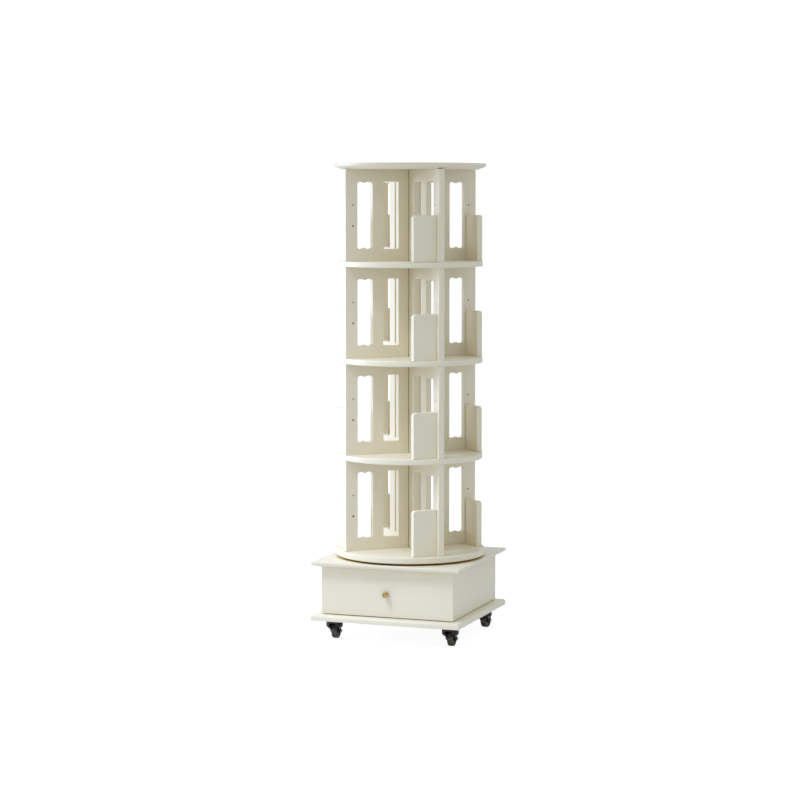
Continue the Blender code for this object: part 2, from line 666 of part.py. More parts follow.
def fork_mesh():
    """Swivel crown with two legs and a well for the wheel, which trails along local +X."""
    pin_high = CASTER_PLATE_LOW + CASTER_PLATE_THICKNESS - SEAT_GAP
    neck_high = CASTER_NECK_HIGH
    crown_high = CASTER_CROWN_HIGH
    crown_low = CASTER_CROWN_LOW
    skirt_low = crown_low - CASTER_SKIRT_DROP
    pin = CASTER_PIN_DIAMETER / 2.0
    neck = CASTER_NECK_DIAMETER / 2.0
    crown = CASTER_CROWN_DIAMETER / 2.0
    ease = CASTER_CROWN_ROUND
    profile = [(pin, pin_high), (pin, neck_high), (neck, neck_high), (neck, crown_high),
               (crown - ease, crown_high), (crown, crown_high - ease), (crown, skirt_low)]
    top = temporary_object("fork_crown", turned_mesh("fork_crown", profile, CASTER_SEGMENTS))

    inner = WHEEL_WIDTH / 2.0 + WHEEL_SIDE_CLEARANCE
    leg = inner + FORK_LEG_THICKNESS
    shoulder = axle_height() + FORK_SHOULDER_RISE
    wide = FORK_TOP_WIDTH / 2.0
    foot = axle_height() - FORK_BOSS_RADIUS - CUT_OVERRUN
    bridge = crown_low + ease
    outline = [(-leg, foot), (-inner, foot), (-inner, crown_low), (inner, crown_low), (inner, foot),
               (leg, foot), (leg, shoulder), (wide, skirt_low), (wide, bridge), (-wide, bridge),
               (-wide, skirt_low), (-leg, shoulder)]
    length = 2.0 * CASTER_CROWN_DIAMETER
    legs = temporary_object("fork_legs", prism_mesh("fork_legs", outline, length),
                            (QUARTER_TURN, 0.0, QUARTER_TURN))

    boss = arc_points((CASTER_TRAIL, axle_height()), FORK_BOSS_RADIUS, 20.0, -160.0, FORK_BOSS_STEPS)
    side = [(-FORK_TOP_HALF_LENGTH, bridge + ease), (FORK_TOP_HALF_LENGTH, bridge + ease),
            (FORK_TOP_HALF_LENGTH, skirt_low), *boss, (-FORK_TOP_HALF_LENGTH, skirt_low)]
    shape = temporary_object("fork_side", prism_mesh("fork_side", side, length), (QUARTER_TURN, 0.0, 0.0))

    well = temporary_object("fork_well", box_mesh("fork_well", (length, 2.0 * inner, 2.0 * crown_low)))

    radius = AXLE_DIAMETER / 2.0 + SEAT_GAP
    bore = turned_mesh("fork_bore", [(radius, -length), (radius, length)], AXLE_SEGMENTS)
    drill = temporary_object("fork_drill", bore, (QUARTER_TURN, 0.0, 0.0), (CASTER_TRAIL, 0.0, axle_height()))

    combine(legs, "INTERSECT", shape)
    combine(legs, "UNION", top)
    combine(legs, "DIFFERENCE", well)
    combine(legs, "DIFFERENCE", drill)
    bpy.context.view_layer.update()
    depsgraph = bpy.context.evaluated_depsgraph_get()
    mesh = bpy.data.meshes.new_from_object(legs.evaluated_get(depsgraph))
    mesh.transform(legs.matrix_world)
    mesh.name = "caster_fork"
    for helper in (top, legs, shape, well, drill):
        bpy.data.objects.remove(helper, do_unlink=True)
    mesh.shade_smooth()
    mesh.set_sharp_from_angle(angle=math.radians(SMOOTH_DEGREES))
    return mesh


def wheel_mesh():
    """Wheel with a dished web and a hub, turned about local Z."""
    tread = WHEEL_DIAMETER / 2.0
    half = WHEEL_WIDTH / 2.0
    rim = tread - WHEEL_RIM_WIDTH
    hub = WHEEL_HUB_DIAMETER / 2.0
    bore = AXLE_DIAMETER / 2.0 + SEAT_GAP
    web = half - WHEEL_DISH
    outer_half = [(tread, half - WHEEL_SHOULDER), (tread - WHEEL_SHOULDER, half), (rim, web), (hub, web),
                  (bore, half)]
    profile = outer_half + [(radius, -height) for radius, height in reversed(outer_half)]
    mesh = turned_mesh("caster_wheel", profile, WHEEL_SEGMENTS, bored=True)
    mesh.transform(Matrix.Rotation(math.pi / WHEEL_SEGMENTS, 4, "Z"))
    return mesh


def axle_mesh():
    """Axle with a round head at each end, turned about local Z."""
    shank = AXLE_DIAMETER / 2.0
    head = AXLE_HEAD_DIAMETER / 2.0
    reach = WHEEL_WIDTH / 2.0 + WHEEL_SIDE_CLEARANCE + FORK_LEG_THICKNESS + SEAT_GAP
    end = reach + AXLE_HEAD_LENGTH
    profile = [(head, -end), (head, -reach), (shank, -reach), (shank, reach), (head, reach), (head, end)]
    return turned_mesh("caster_axle", profile, AXLE_SEGMENTS)


def make_casters(materials, base):
    """Four swivel casters, each a plate, a fork, an axle and a wheel."""
    plate = caster_plate_mesh()
    fork = fork_mesh()
    axle = axle_mesh()
    wheel = wheel_mesh()
    plate_middle = CASTER_PLATE_LOW + CASTER_PLATE_THICKNESS / 2.0
    corners = ((-1.0, -1.0), (1.0, -1.0), (1.0, 1.0), (-1.0, 1.0))
    for index, (side, end) in enumerate(corners):
        number = index + 1
        x = side * (BASE_HALF - CASTER_SIDE_INSET)
        y = end * (BASE_HALF - CASTER_FRONT_INSET)
        turn = math.radians(CASTER_TRAIL_DEGREES[index])
        finish_object(f"caster_plate_{number}", plate, materials["caster_black"], base, (x, y, plate_middle))
        swivel = make_empty(f"caster_{number}", (x, y, 0.0), turn)
        finish_object(f"caster_fork_{number}", fork, materials["caster_black"], swivel, (0.0, 0.0, 0.0))
        centre = (CASTER_TRAIL, 0.0, axle_height())
        finish_object(f"caster_axle_{number}", axle, materials["axle_steel"], swivel, centre,
                      (QUARTER_TURN, 0.0, 0.0))
        finish_object(f"caster_wheel_{number}", wheel, materials["wheel_black"], swivel, centre,
                      (QUARTER_TURN, 0.0, 0.0))


def main():
    clear_scene()
    materials = make_materials()
    base = make_empty("base", (0.0, 0.0, 0.0))
    carousel = make_empty("carousel", (0.0, 0.0, 0.0), CAROUSEL_TURN)
    drawer = make_empty("drawer", (0.0, 0.0, 0.0))

    make_base_bottom_board(materials, base)
    make_case_side("case_left_side", -1.0, materials, base)
    make_case_side("case_right_side", 1.0, materials, base)
    make_case_back(materials, base)
    make_runner("drawer_runner_left", -1.0, materials, base)
    make_runner("drawer_runner_right", 1.0, materials, base)
    make_base_top_board(materials, base)
    make_bearing(materials, base, carousel)
    make_discs(materials, carousel)
    make_tiers(materials, carousel)
    make_drawer_front(materials, drawer)
    make_drawer_box(materials, drawer)
    make_knob(materials, drawer)
    make_casters(materials, base)


main()
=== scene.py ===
# %% [markdown]
# # A revolving bookcase in satin ivory paint
#
# This lesson dresses a CAD model for its portrait. The CAD part holds the real sizes: a square base with a
# drawer on four casters, and a round four-tier carousel that turns on it. Here its boards get the softened
# edges that sanding leaves, its round pieces get finer curves, and every surface gets its finish. Each new
# piece stands where its CAD node stands, and keeps its size to within a millimetre.

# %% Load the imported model
import json
import math

import bmesh
import bpy
from mathutils import Matrix, Vector


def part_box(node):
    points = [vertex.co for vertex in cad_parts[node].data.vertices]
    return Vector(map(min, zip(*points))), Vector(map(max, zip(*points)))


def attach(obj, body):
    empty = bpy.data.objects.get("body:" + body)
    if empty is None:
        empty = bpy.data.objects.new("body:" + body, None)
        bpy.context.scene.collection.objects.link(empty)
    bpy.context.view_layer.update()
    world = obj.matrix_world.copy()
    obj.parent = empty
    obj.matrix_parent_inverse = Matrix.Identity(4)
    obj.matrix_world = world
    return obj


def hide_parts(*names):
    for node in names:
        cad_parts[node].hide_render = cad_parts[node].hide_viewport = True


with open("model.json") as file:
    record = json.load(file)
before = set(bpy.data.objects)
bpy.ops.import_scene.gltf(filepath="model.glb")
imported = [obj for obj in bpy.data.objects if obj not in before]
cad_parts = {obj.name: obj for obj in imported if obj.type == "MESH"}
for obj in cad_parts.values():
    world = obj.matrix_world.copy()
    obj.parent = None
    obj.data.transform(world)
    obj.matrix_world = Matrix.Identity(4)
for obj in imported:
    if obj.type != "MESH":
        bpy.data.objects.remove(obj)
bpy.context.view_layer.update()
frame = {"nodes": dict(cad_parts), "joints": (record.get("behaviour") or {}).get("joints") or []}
nodes = frame["nodes"]
scene = bpy.context.scene
FULL_TURN = 2.0 * math.pi

# %% [markdown]
# ## The camera
#
# The photograph was taken from a little to the right, with a long lens a little lower than the top board.
# Its upright edges are parallel, which a small downward shift of the lens helps to keep. A camera closer by
# would show more of the shelf tops, and one farther away would flatten the circles.

# %% Camera
CAMERA_PLACE = (2.5564, -7.1594, 1.4535)
CAMERA_AZIMUTH = math.radians(19.907)
CAMERA_PITCH = math.radians(3.997)
FOCAL_LENGTH_SHARE = 2.85172       # focal length over the width of the frame
LENS_SHIFT_SHARE = -0.05

camera_data = bpy.data.cameras.new("camera")
camera_data.lens = camera_data.sensor_width * FOCAL_LENGTH_SHARE
camera_data.shift_y = LENS_SHIFT_SHARE
camera = bpy.data.objects.new("camera", camera_data)
camera.location = CAMERA_PLACE
camera.rotation_euler = (math.pi / 2.0 - CAMERA_PITCH, 0.0, CAMERA_AZIMUTH)
scene.collection.objects.link(camera)
scene.camera = camera
print("lens:", round(camera_data.lens, 1), "mm")

# %% [markdown]
# ## Colours and nodes
#
# Paint cards and colour pickers give sRGB values, and Cycles works in linear light, so one function turns
# a hex value into linear red, green and blue. Two more small functions build any node tree: one sets a
# node's inputs, either to plain values or to links from another node's socket, and one adds the node.

# %% Colour and node helpers
MM_PER_METRE = 1000.0
FEW, SOME, MANY, MOST = 2.0, 3.0, 4.0, 5.0      # layers of finer and finer noise in one pattern


def linear(hex_text):
    """An sRGB colour written as rrggbb, as linear red, green, blue and alpha."""
    channels = []
    for start in (0, 2, 4):
        share = int(hex_text[start:start + 2], 16) / 255.0
        channels.append(share / 12.92 if share <= 0.04045 else ((share + 0.055) / 1.055) ** 2.4)
    return (*channels, 1.0)


def connect(tree, node, inputs):
    """Set a node's inputs, given by name or number, to values or to sockets to link from."""
    for key, value in inputs.items():
        socket = node.inputs[key]
        if isinstance(value, bpy.types.NodeSocket):
            tree.links.new(value, socket)
        else:
            socket.default_value = value


def add(tree, kind, inputs=None, **settings):
    """Add one node to a tree, with its settings and its inputs."""
    made = tree.nodes.new(kind)
    for name, value in settings.items():
        setattr(made, name, value)
    connect(tree, made, inputs or {})
    return made


def new_material(name):
    """A material with its node tree, its Principled shader and the place on the piece."""
    material = bpy.data.materials.new(name)
    material.use_nodes = True
    tree = material.node_tree
    place = add(tree, "ShaderNodeTexCoord").outputs["Object"]
    return material, tree, tree.nodes["Principled BSDF"], place


def per_metre(millimetres):
    """Texture scale for a pattern that repeats every so many millimetres."""
    return MM_PER_METRE / millimetres


def metres(millimetres):
    """A length in metres."""
    return millimetres / MM_PER_METRE


print("half bright on screen is", round(linear("808080")[0], 2), "in linear light")

# %% [markdown]
# ## Satin ivory paint on wood
#
# The boards are sprayed and rubbed down between coats. The eye sees an almost flat cream, warmer in the
# corners because light bounces between the boards, with a soft satin shine. Close up there is the faint
# pebbling that a spray gun leaves, about two millimetres across, and the wood's grain just shows through as
# long shallow lines. Grain follows each board's length, so upright boards and flat boards need a copy each.

# %% Ivory paint
PAINT_LIGHT = "F0E6CC"
PAINT_DARK = "ECE1C5"
PAINT_ROUGHNESS = (0.37, 0.47)         # of the smoothest and the dullest patches
PAINT_IOR = 1.5
PAINT_COAT = 0.08
PAINT_COAT_ROUGHNESS = 0.3
CLOUD_MM = 180.0
PEBBLE_MM = 2.2
PEBBLE_DEPTH_MM = 0.02
GRAIN_MM = 3.5
GRAIN_LENGTH_MM = 160.0
GRAIN_DEPTH_MM = 0.03


def ivory_paint(name, grain_axis):
    """Satin cream paint whose faint grain runs along one axis."""
    material, tree, shader, place = new_material(name)
    cloud = add(tree, "ShaderNodeTexNoise", {"Vector": place, "Scale": per_metre(CLOUD_MM), "Detail": SOME})
    tint = add(tree, "ShaderNodeMix", {0: cloud.outputs[0], 6: linear(PAINT_DARK), 7: linear(PAINT_LIGHT)},
               data_type="RGBA")
    stretch = [per_metre(GRAIN_MM)] * 3
    stretch[grain_axis] = per_metre(GRAIN_LENGTH_MM)
    fibres = add(tree, "ShaderNodeMapping", {"Vector": place, "Scale": stretch})
    grain = add(tree, "ShaderNodeTexNoise", {"Vector": fibres.outputs[0], "Scale": 1.0, "Detail": MANY})
    pebble = add(tree, "ShaderNodeTexNoise", {"Vector": place, "Scale": per_metre(PEBBLE_MM), "Detail": FEW})
    pebbled = add(tree, "ShaderNodeBump", {"Height": pebble.outputs[0], "Distance": metres(PEBBLE_DEPTH_MM)})
    grained = add(tree, "ShaderNodeBump", {"Height": grain.outputs[0], "Distance": metres(GRAIN_DEPTH_MM),
                                           "Normal": pebbled.outputs[0]})
    smooth, dull = PAINT_ROUGHNESS
    polish = add(tree, "ShaderNodeMapRange", {"Value": cloud.outputs[0], "To Min": smooth, "To Max": dull})
    connect(tree, shader, {"Base Color": tint.outputs[2], "Roughness": polish.outputs[0],
                           "Normal": grained.outputs[0], "IOR": PAINT_IOR, "Coat Weight": PAINT_COAT,
                           "Coat Roughness": PAINT_COAT_ROUGHNESS})
    return material


AXIS_X, AXIS_Y, AXIS_Z = range(3)
paint_upright = ivory_paint("ivory_paint_upright", AXIS_Z)
paint_flat = ivory_paint("ivory_paint_flat", AXIS_X)
print("paint:", paint_upright.name, paint_flat.name)

# %% [markdown]
# The photograph shows a golden-brown line under the turntable, where light bounces about in the thin gap.
# Painted boards alone would leave it grey. So the two faces that hide the bearing get the golden colour of
# bare plywood as painted shade, which makes the shade in the gap brown: the turntable's underside, and a
# circle on the base just inside the turntable's rim. The paint's tree gets one more mix, and the distance
# from a point on the axis decides where the wood colour goes.

# %% Paint with painted shade in the middle
# Colours of bare golden plywood, used as painted shade for the gap under the turntable.
GAP_SHADE_GOLD = "E9D182"
GAP_SHADE_DEEP = "D6B862"
GAP_SHADE_INSET = 0.004
GAP_SHADE_DEPTH = 0.0003


def wood_shade_near_axis(name, grain_axis, radius, pale, deep, height=0.0, height_stretch=0.0):
    """Ivory paint with a wood colour as painted shade within a radius of the axis, or of a point on it."""
    material = ivory_paint(name, grain_axis)
    tree = material.node_tree
    shader = tree.nodes["Principled BSDF"]
    place = tree.nodes["Texture Coordinate"].outputs["Object"]
    painted = shader.inputs["Base Color"].links[0].from_socket
    lens = add(tree, "ShaderNodeMapping", {"Vector": place, "Scale": (1.0, 1.0, height_stretch),
                                           "Location": (0.0, 0.0, -height * height_stretch)})
    away = add(tree, "ShaderNodeVectorMath", {0: lens.outputs[0]}, operation="LENGTH")
    # Where the mask is 1 the paint gives way to a wood colour that is painted shade.
    inside = add(tree, "ShaderNodeMath", {0: away.outputs["Value"], 1: radius}, operation="LESS_THAN")
    fibres = add(tree, "ShaderNodeTexNoise", {"Vector": place, "Scale": per_metre(GRAIN_MM), "Detail": MANY})
    wood_shade = add(tree, "ShaderNodeMix", {0: fibres.outputs[0], 6: linear(pale), 7: linear(deep)},
               data_type="RGBA")
    both = add(tree, "ShaderNodeMix", {0: inside.outputs[0], 6: painted, 7: wood_shade.outputs[2]},
               data_type="RGBA")
    connect(tree, shader, {"Base Color": both.outputs[2]})
    return material


def wood_shade_circle(name, height, radius):
    """Ivory paint with painted shade in a wood colour on a flat face: stretching the height makes a thin lens
    of the radius.
    """
    return wood_shade_near_axis(name, AXIS_X, radius, GAP_SHADE_GOLD, GAP_SHADE_DEEP, height, radius / GAP_SHADE_DEPTH)


low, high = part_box("turntable_board")
gap_shade_radius = high.x - GAP_SHADE_INSET
# The turntable's underside and a circle on the base carry this painted shade.
paint_gap_shade_below = wood_shade_circle("ivory_paint_gap_shade_underneath", low.z, gap_shade_radius)
paint_gap_shade_on_top = wood_shade_circle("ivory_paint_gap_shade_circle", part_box("base_top_board")[1].z, gap_shade_radius)
print("bare circles:", round(gap_shade_radius, 4), "m")

# %% [markdown]
# ## Lacquered birch for the drawer box
#
# Inside, the drawer is plain birch: pale, with fine brown lines along the board and slow honey-coloured
# bands. Stretching a noise texture along the grain gives the lines, and a wider one gives the bands.

# %% Birch
BIRCH_PALE = "DDBE8E"
BIRCH_DEEP = "C19A66"
BIRCH_LINE_MM = 1.6
BIRCH_BAND_MM = 22.0
BIRCH_LENGTH_MM = 220.0
BIRCH_WAVINESS = 0.4
BIRCH_SHADE_SHARES = (0.12, 0.38)      # of the pattern's range, the deep and the pale end
BIRCH_RELIEF_MM = 0.04
BIRCH_ROUGHNESS = 0.5


def lacquered_birch(name, grain_axis):
    """Birch under clear lacquer, its grain along one axis."""
    material, tree, shader, place = new_material(name)
    shades = []
    for width in (BIRCH_BAND_MM, BIRCH_LINE_MM):
        stretch = [per_metre(width)] * 3
        stretch[grain_axis] = per_metre(BIRCH_LENGTH_MM)
        fibres = add(tree, "ShaderNodeMapping", {"Vector": place, "Scale": stretch})
        shades.append(add(tree, "ShaderNodeTexNoise", {"Vector": fibres.outputs[0], "Scale": 1.0,
                                                       "Detail": MOST,
                                                       "Distortion": BIRCH_WAVINESS}).outputs[0])
    both = add(tree, "ShaderNodeMath", {0: shades[0], 1: shades[1]}, operation="MULTIPLY")
    deep_end, pale_end = BIRCH_SHADE_SHARES
    spread = add(tree, "ShaderNodeMapRange", {"Value": both.outputs[0], "From Min": deep_end,
                                              "From Max": pale_end})
    tint = add(tree, "ShaderNodeMix", {0: spread.outputs[0], 6: linear(BIRCH_DEEP), 7: linear(BIRCH_PALE)},
               data_type="RGBA")
    relief = add(tree, "ShaderNodeBump", {"Height": shades[1], "Distance": metres(BIRCH_RELIEF_MM)})
    connect(tree, shader, {"Base Color": tint.outputs[2], "Normal": relief.outputs[0],
                           "Roughness": BIRCH_ROUGHNESS})
    return material


birch_along_y = lacquered_birch("lacquered_birch_along_y", AXIS_Y)
birch_along_x = lacquered_birch("lacquered_birch_along_x", AXIS_X)
print("birch:", birch_along_y.name, birch_along_x.name)

# %% [markdown]
# ## Brass and zinc
#
# The knob is turned brass, so its face carries fine rings left by the lathe. They are finer than any mesh,
# so a wave texture bends the light instead. The bearing, the axles and the caster screws are zinc-plated
# steel, a grey metal with a cloudy shine.

# %% Metals
BRASS = "C9B070"
BRASS_ROUGHNESS = 0.3
LATHE_RING_MM = 0.9
LATHE_RING_DEPTH_MM = 0.01
LATHE_WOBBLE = 0.3
WAVES_PER_UNIT = 20.0 / FULL_TURN      # of Blender's wave texture at scale 1
ZINC = "B9BBB9"
ZINC_CLOUD_MM = 6.0
ZINC_ROUGHNESS = (0.28, 0.46)


def turned_brass():
    """Brass with the fine rings that turning leaves round the knob's axis."""
    material, tree, shader, place = new_material("turned_brass")
    low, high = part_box("drawer_knob")
    centred = add(tree, "ShaderNodeMapping", {"Vector": place, "Location": -(low + high) / 2.0})
    scale = per_metre(LATHE_RING_MM) / WAVES_PER_UNIT
    rings = add(tree, "ShaderNodeTexWave", {"Vector": centred.outputs[0], "Scale": scale,
                                            "Distortion": LATHE_WOBBLE},
                wave_type="RINGS", rings_direction="Y")
    relief = add(tree, "ShaderNodeBump", {"Height": rings.outputs["Fac"],
                                          "Distance": metres(LATHE_RING_DEPTH_MM)})
    connect(tree, shader, {"Base Color": linear(BRASS), "Metallic": 1.0, "Roughness": BRASS_ROUGHNESS,
                           "Normal": relief.outputs[0]})
    return material


def zinc_plate():
    """Zinc-plated steel, its shine broken into small clouds."""
    material, tree, shader, place = new_material("zinc_plated_steel")
    cloud = add(tree, "ShaderNodeTexNoise", {"Vector": place, "Scale": per_metre(ZINC_CLOUD_MM),
                                             "Detail": SOME})
    smooth, dull = ZINC_ROUGHNESS
    polish = add(tree, "ShaderNodeMapRange", {"Value": cloud.outputs[0], "To Min": smooth, "To Max": dull})
    connect(tree, shader, {"Base Color": linear(ZINC), "Metallic": 1.0, "Roughness": polish.outputs[0]})
    return material


brass = turned_brass()
zinc = zinc_plate()
print("metals:", brass.name, zinc.name)

# %% [markdown]
# ## Powder coat, nylon and rubber
#
# The caster horns are powder coated: black, slightly rough to the touch. The wheel cores are moulded nylon,
# also black but smoother, and the tyres are dark grey rubber, polished by the floor and a little dusty. Their
# paler patches are dust and also painted sheen, where the tread catches the light. A black surface shows
# little but its shine, so a warm tint on the shine keeps it neutral under the blue lamps.

# %% Black finishes
WARM_SHINE = "FFEBCF"
POWDER_BLACK = "100F0D"
POWDER_GRIT_MM = 0.6
POWDER_DEPTH_MM = 0.03
POWDER_ROUGHNESS = 0.27
# The scuff pattern also places the tyres' painted sheen.
SCUFF_AND_SHEEN_MM = 5.0
SCUFF_AND_SHEEN_SHARES = (0.5, 0.75)             # of the pattern's range, where wear begins and where it is full
NYLON_BLACK = "171613"
NYLON_SCUFFED = "24231F"
NYLON_ROUGHNESS = (0.28, 0.5)
# The tyre's dark grey and its paler dusty patches are partly painted sheen where the tread catches the light.
RUBBER_BLACK = "38362F"
RUBBER_DUST_AND_SHEEN = "8F8B7F"
RUBBER_ROUGHNESS = (0.28, 0.42)


def powder_coat():
    """Black powder coat with its fine orange-peel grit."""
    material, tree, shader, place = new_material("black_powder_coat")
    grit = add(tree, "ShaderNodeTexNoise", {"Vector": place, "Scale": per_metre(POWDER_GRIT_MM),
                                            "Detail": FEW})
    relief = add(tree, "ShaderNodeBump", {"Height": grit.outputs[0], "Distance": metres(POWDER_DEPTH_MM)})
    connect(tree, shader, {"Base Color": linear(POWDER_BLACK), "Roughness": POWDER_ROUGHNESS,
                           "Specular Tint": linear(WARM_SHINE), "Normal": relief.outputs[0]})
    return material


def worn_plastic_with_sheen(name, fresh, scuffed_and_sheen, roughness):
    """A moulded surface that is paler and duller in scuffed patches, which on the tyres are also painted
    sheen.
    """
    material, tree, shader, place = new_material(name)
    scuff_and_sheen = add(tree, "ShaderNodeTexNoise", {"Vector": place, "Scale": per_metre(SCUFF_AND_SHEEN_MM), "Detail": MANY})
    begins, full = SCUFF_AND_SHEEN_SHARES
    worn_and_sheen = add(tree, "ShaderNodeMapRange", {"Value": scuff_and_sheen.outputs[0], "From Min": begins, "From Max": full})
    tint = add(tree, "ShaderNodeMix", {0: worn_and_sheen.outputs[0], 6: linear(fresh), 7: linear(scuffed_and_sheen)},
               data_type="RGBA")
    smooth, dull = roughness
    polish = add(tree, "ShaderNodeMapRange", {"Value": scuff_and_sheen.outputs[0], "To Min": smooth, "To Max": dull})
    connect(tree, shader, {"Base Color": tint.outputs[2], "Roughness": polish.outputs[0],
                           "Specular Tint": linear(WARM_SHINE)})
    return material


black_coat = powder_coat()
nylon = worn_plastic_with_sheen("moulded_black_nylon", NYLON_BLACK, NYLON_SCUFFED, NYLON_ROUGHNESS)
rubber = worn_plastic_with_sheen("black_tyre_rubber", RUBBER_BLACK, RUBBER_DUST_AND_SHEEN, RUBBER_ROUGHNESS)
print("black finishes:", black_coat.name, nylon.name, rubber.name)

# %% [markdown]
# ## Placing a finished piece
#
# Every finished piece is a plain mesh whose object sits at the origin. It rides on one body of the model,
# and the CAD nodes that it stands for are hidden.

# %% Piece helpers
EASE_ANGLE = math.radians(35.0)        # edges that are sharper than this get rounded
EASE_SEGMENTS = 3


def show(name, mesh, material, body, replaced=()):
    """Put a finished mesh in the scene as a piece of the bookcase."""
    piece = bpy.data.objects.new(name, mesh)
    scene.collection.objects.link(piece)
    mesh.name = name
    mesh.materials.clear()
    mesh.materials.append(material)
    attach(piece, body)
    if replaced:
        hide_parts(*replaced)


def smooth_mesh(name, built):
    """The mesh of a finished BMesh, shaded smooth."""
    mesh = bpy.data.meshes.new(name)
    built.to_mesh(mesh)
    built.free()
    mesh.shade_smooth()
    return mesh


def settled(name, mesh, modify):
    """Give a mesh some modifiers and return the plain mesh that they make."""
    holder = bpy.data.objects.new(name, mesh)
    scene.collection.objects.link(holder)
    modify(holder)
    bpy.context.view_layer.update()
    made = bpy.data.meshes.new_from_object(holder.evaluated_get(bpy.context.evaluated_depsgraph_get()))
    bpy.data.objects.remove(holder, do_unlink=True)
    return made


def eased(holder, width):
    """A Bevel modifier that rounds the sharp edges and keeps the flat faces flat."""
    bevel = holder.modifiers.new("eased_edges", "BEVEL")
    bevel.width = width
    bevel.segments = EASE_SEGMENTS
    bevel.limit_method = "ANGLE"
    bevel.angle_limit = EASE_ANGLE
    bevel.harden_normals = True


print("CAD nodes to dress:", len(nodes))

# %% [markdown]
# ## Sawn and sanded boards
#
# The base's boards, the drawer and the runners have the right shape in the CAD already, but their edges
# are knife sharp. On the real ones sandpaper has taken them off by about a millimetre, and that thin round
# catches the light. So each is a copy of its CAD node: the loose triangles are merged, the flat ones are
# dissolved into whole faces, and a Bevel modifier rounds the edges.

# %% Boards with eased edges
MERGE_DISTANCE = 0.00001
FLAT_ANGLE = math.radians(0.3)
SANDED_ROUND = 0.001


def merged_copy(node):
    """A copy of a CAD node's mesh with its triangles joined into whole faces."""
    built = bmesh.new()
    built.from_mesh(nodes[node].data)
    bmesh.ops.remove_doubles(built, verts=built.verts, dist=MERGE_DISTANCE)
    bmesh.ops.dissolve_limit(built, angle_limit=FLAT_ANGLE, verts=built.verts, edges=built.edges)
    return smooth_mesh(node, built)


def sanded_board(node, material, body, width=SANDED_ROUND):
    """A CAD board with its edges rounded over."""
    mesh = settled(node, merged_copy(node), lambda holder: eased(holder, width))
    show("sanded_" + node, mesh, material, body, [node])


for node in ("case_left_side", "case_right_side", "case_back"):
    sanded_board(node, paint_upright, "base")
# The base's top board carries painted shade in wood colour under the turntable's rim.
sanded_board("base_top_board", paint_gap_shade_on_top, "base")
sanded_board("base_bottom_board", paint_flat, "base")
for node in ("drawer_left_side", "drawer_right_side", "drawer_bottom"):
    sanded_board(node, birch_along_y, "drawer")
sanded_board("drawer_back", birch_along_x, "drawer")
for node in ("drawer_runner_left", "drawer_runner_right"):
    sanded_board(node, birch_along_y, "base")

# %% [markdown]
# The drawer front has crisper edges than the rest, and it sits so close under the moulding that the gap
# doesn't show. A cube becomes the board: its corners go to the corners of the CAD node's box, and the upper
# ones a hair higher, to close that gap.

# %% Drawer front
DRAWER_FRONT_ROUND = 0.0004
DRAWER_FRONT_LIFT = 0.0003

low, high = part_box("drawer_front")
high.z += DRAWER_FRONT_LIFT
built = bmesh.new()
bmesh.ops.create_cube(built, size=1.0)
for corner in built.verts:
    corner.co = [(low + high)[axis] / 2.0 + corner.co[axis] * (high - low)[axis] for axis in range(3)]
mesh = smooth_mesh("drawer_front", built)
mesh = settled("drawer_front", mesh, lambda holder: eased(holder, DRAWER_FRONT_ROUND))
show("crisp_drawer_front", mesh, paint_flat, "drawer", ["drawer_front"])
print("drawer front:", [round(size, 4) for size in high - low])

# %% [markdown]
# ## Round boards
#
# The top, the three shelves and the turntable are discs. A turned shape is one profile, drawn as distances
# from the axis and heights, and repeated round a circle. With 180 steps the rim looks truly round. The
# first and last rings lie a hair inside the rounded edge, so that the flat faces stay flat to the light.

# %% Turned pieces
DISC_STEPS = 180
SMOOTH_ANGLE = math.radians(32.0)
FLAT_MARGIN = 0.0015
SHELF_ROUND = 0.0025
ARC_STEPS = 6


def arc(centre, radius, start, end, steps=ARC_STEPS):
    """Points of an arc between two angles in degrees."""
    points = []
    for index in range(steps + 1):
        angle = math.radians(start + (end - start) * index / steps)
        points.append((centre[0] + radius * math.cos(angle), centre[1] + radius * math.sin(angle)))
    return points


def turned(name, profile, steps, closed=False):
    """A mesh turned round Z from (distance, height) points, running down its outer side."""
    built = bmesh.new()
    rows = []
    for distance, height in profile:
        ring = []
        for index in range(steps):
            angle = FULL_TURN * index / steps
            ring.append(built.verts.new((distance * math.cos(angle), distance * math.sin(angle), height)))
        rows.append(ring)
    pairs = list(zip(rows, rows[1:]))
    if closed:
        pairs.append((rows[-1], rows[0]))
    for upper, lower in pairs:
        for index in range(steps):
            built.faces.new((upper[index - 1], lower[index - 1], lower[index], upper[index]))
    if not closed:
        built.faces.new(rows[0])
        built.faces.new(rows[-1])
    bmesh.ops.recalc_face_normals(built, faces=built.faces)
    mesh = smooth_mesh(name, built)
    mesh.set_sharp_from_angle(angle=SMOOTH_ANGLE)
    return mesh


def plain_disc_profile(radius, low, high):
    """Profile of a disc with both edges rounded."""
    ease = SHELF_ROUND
    profile = [(radius - ease - FLAT_MARGIN, high)]
    profile += arc((radius - ease, high - ease), ease, 90.0, 0.0)
    profile += arc((radius - ease, low + ease), ease, 0.0, -90.0)
    profile.append((radius - ease - FLAT_MARGIN, low))
    return profile


for node in ("turntable_board", "shelf_1", "shelf_2", "shelf_3"):
    low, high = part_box(node)
    mesh = turned(node, plain_disc_profile(high.x, low.z, high.z), DISC_STEPS)
    # The turntable's underside carries painted shade in wood colour.
    finish = paint_gap_shade_below if node == "turntable_board" else paint_flat
    show("round_" + node, mesh, finish, "carousel", [node])
    print(node, "is", round(high.x, 4), "m in radius")

# %% [markdown]
# ## The moulded top
#
# The top board's edge is an upright band over a hollow curve that draws in to the underside. A router bit
# cuts that, so the curve is smooth and meets the band in a fine line. Its rule is a power curve: slow at
# first, then faster.

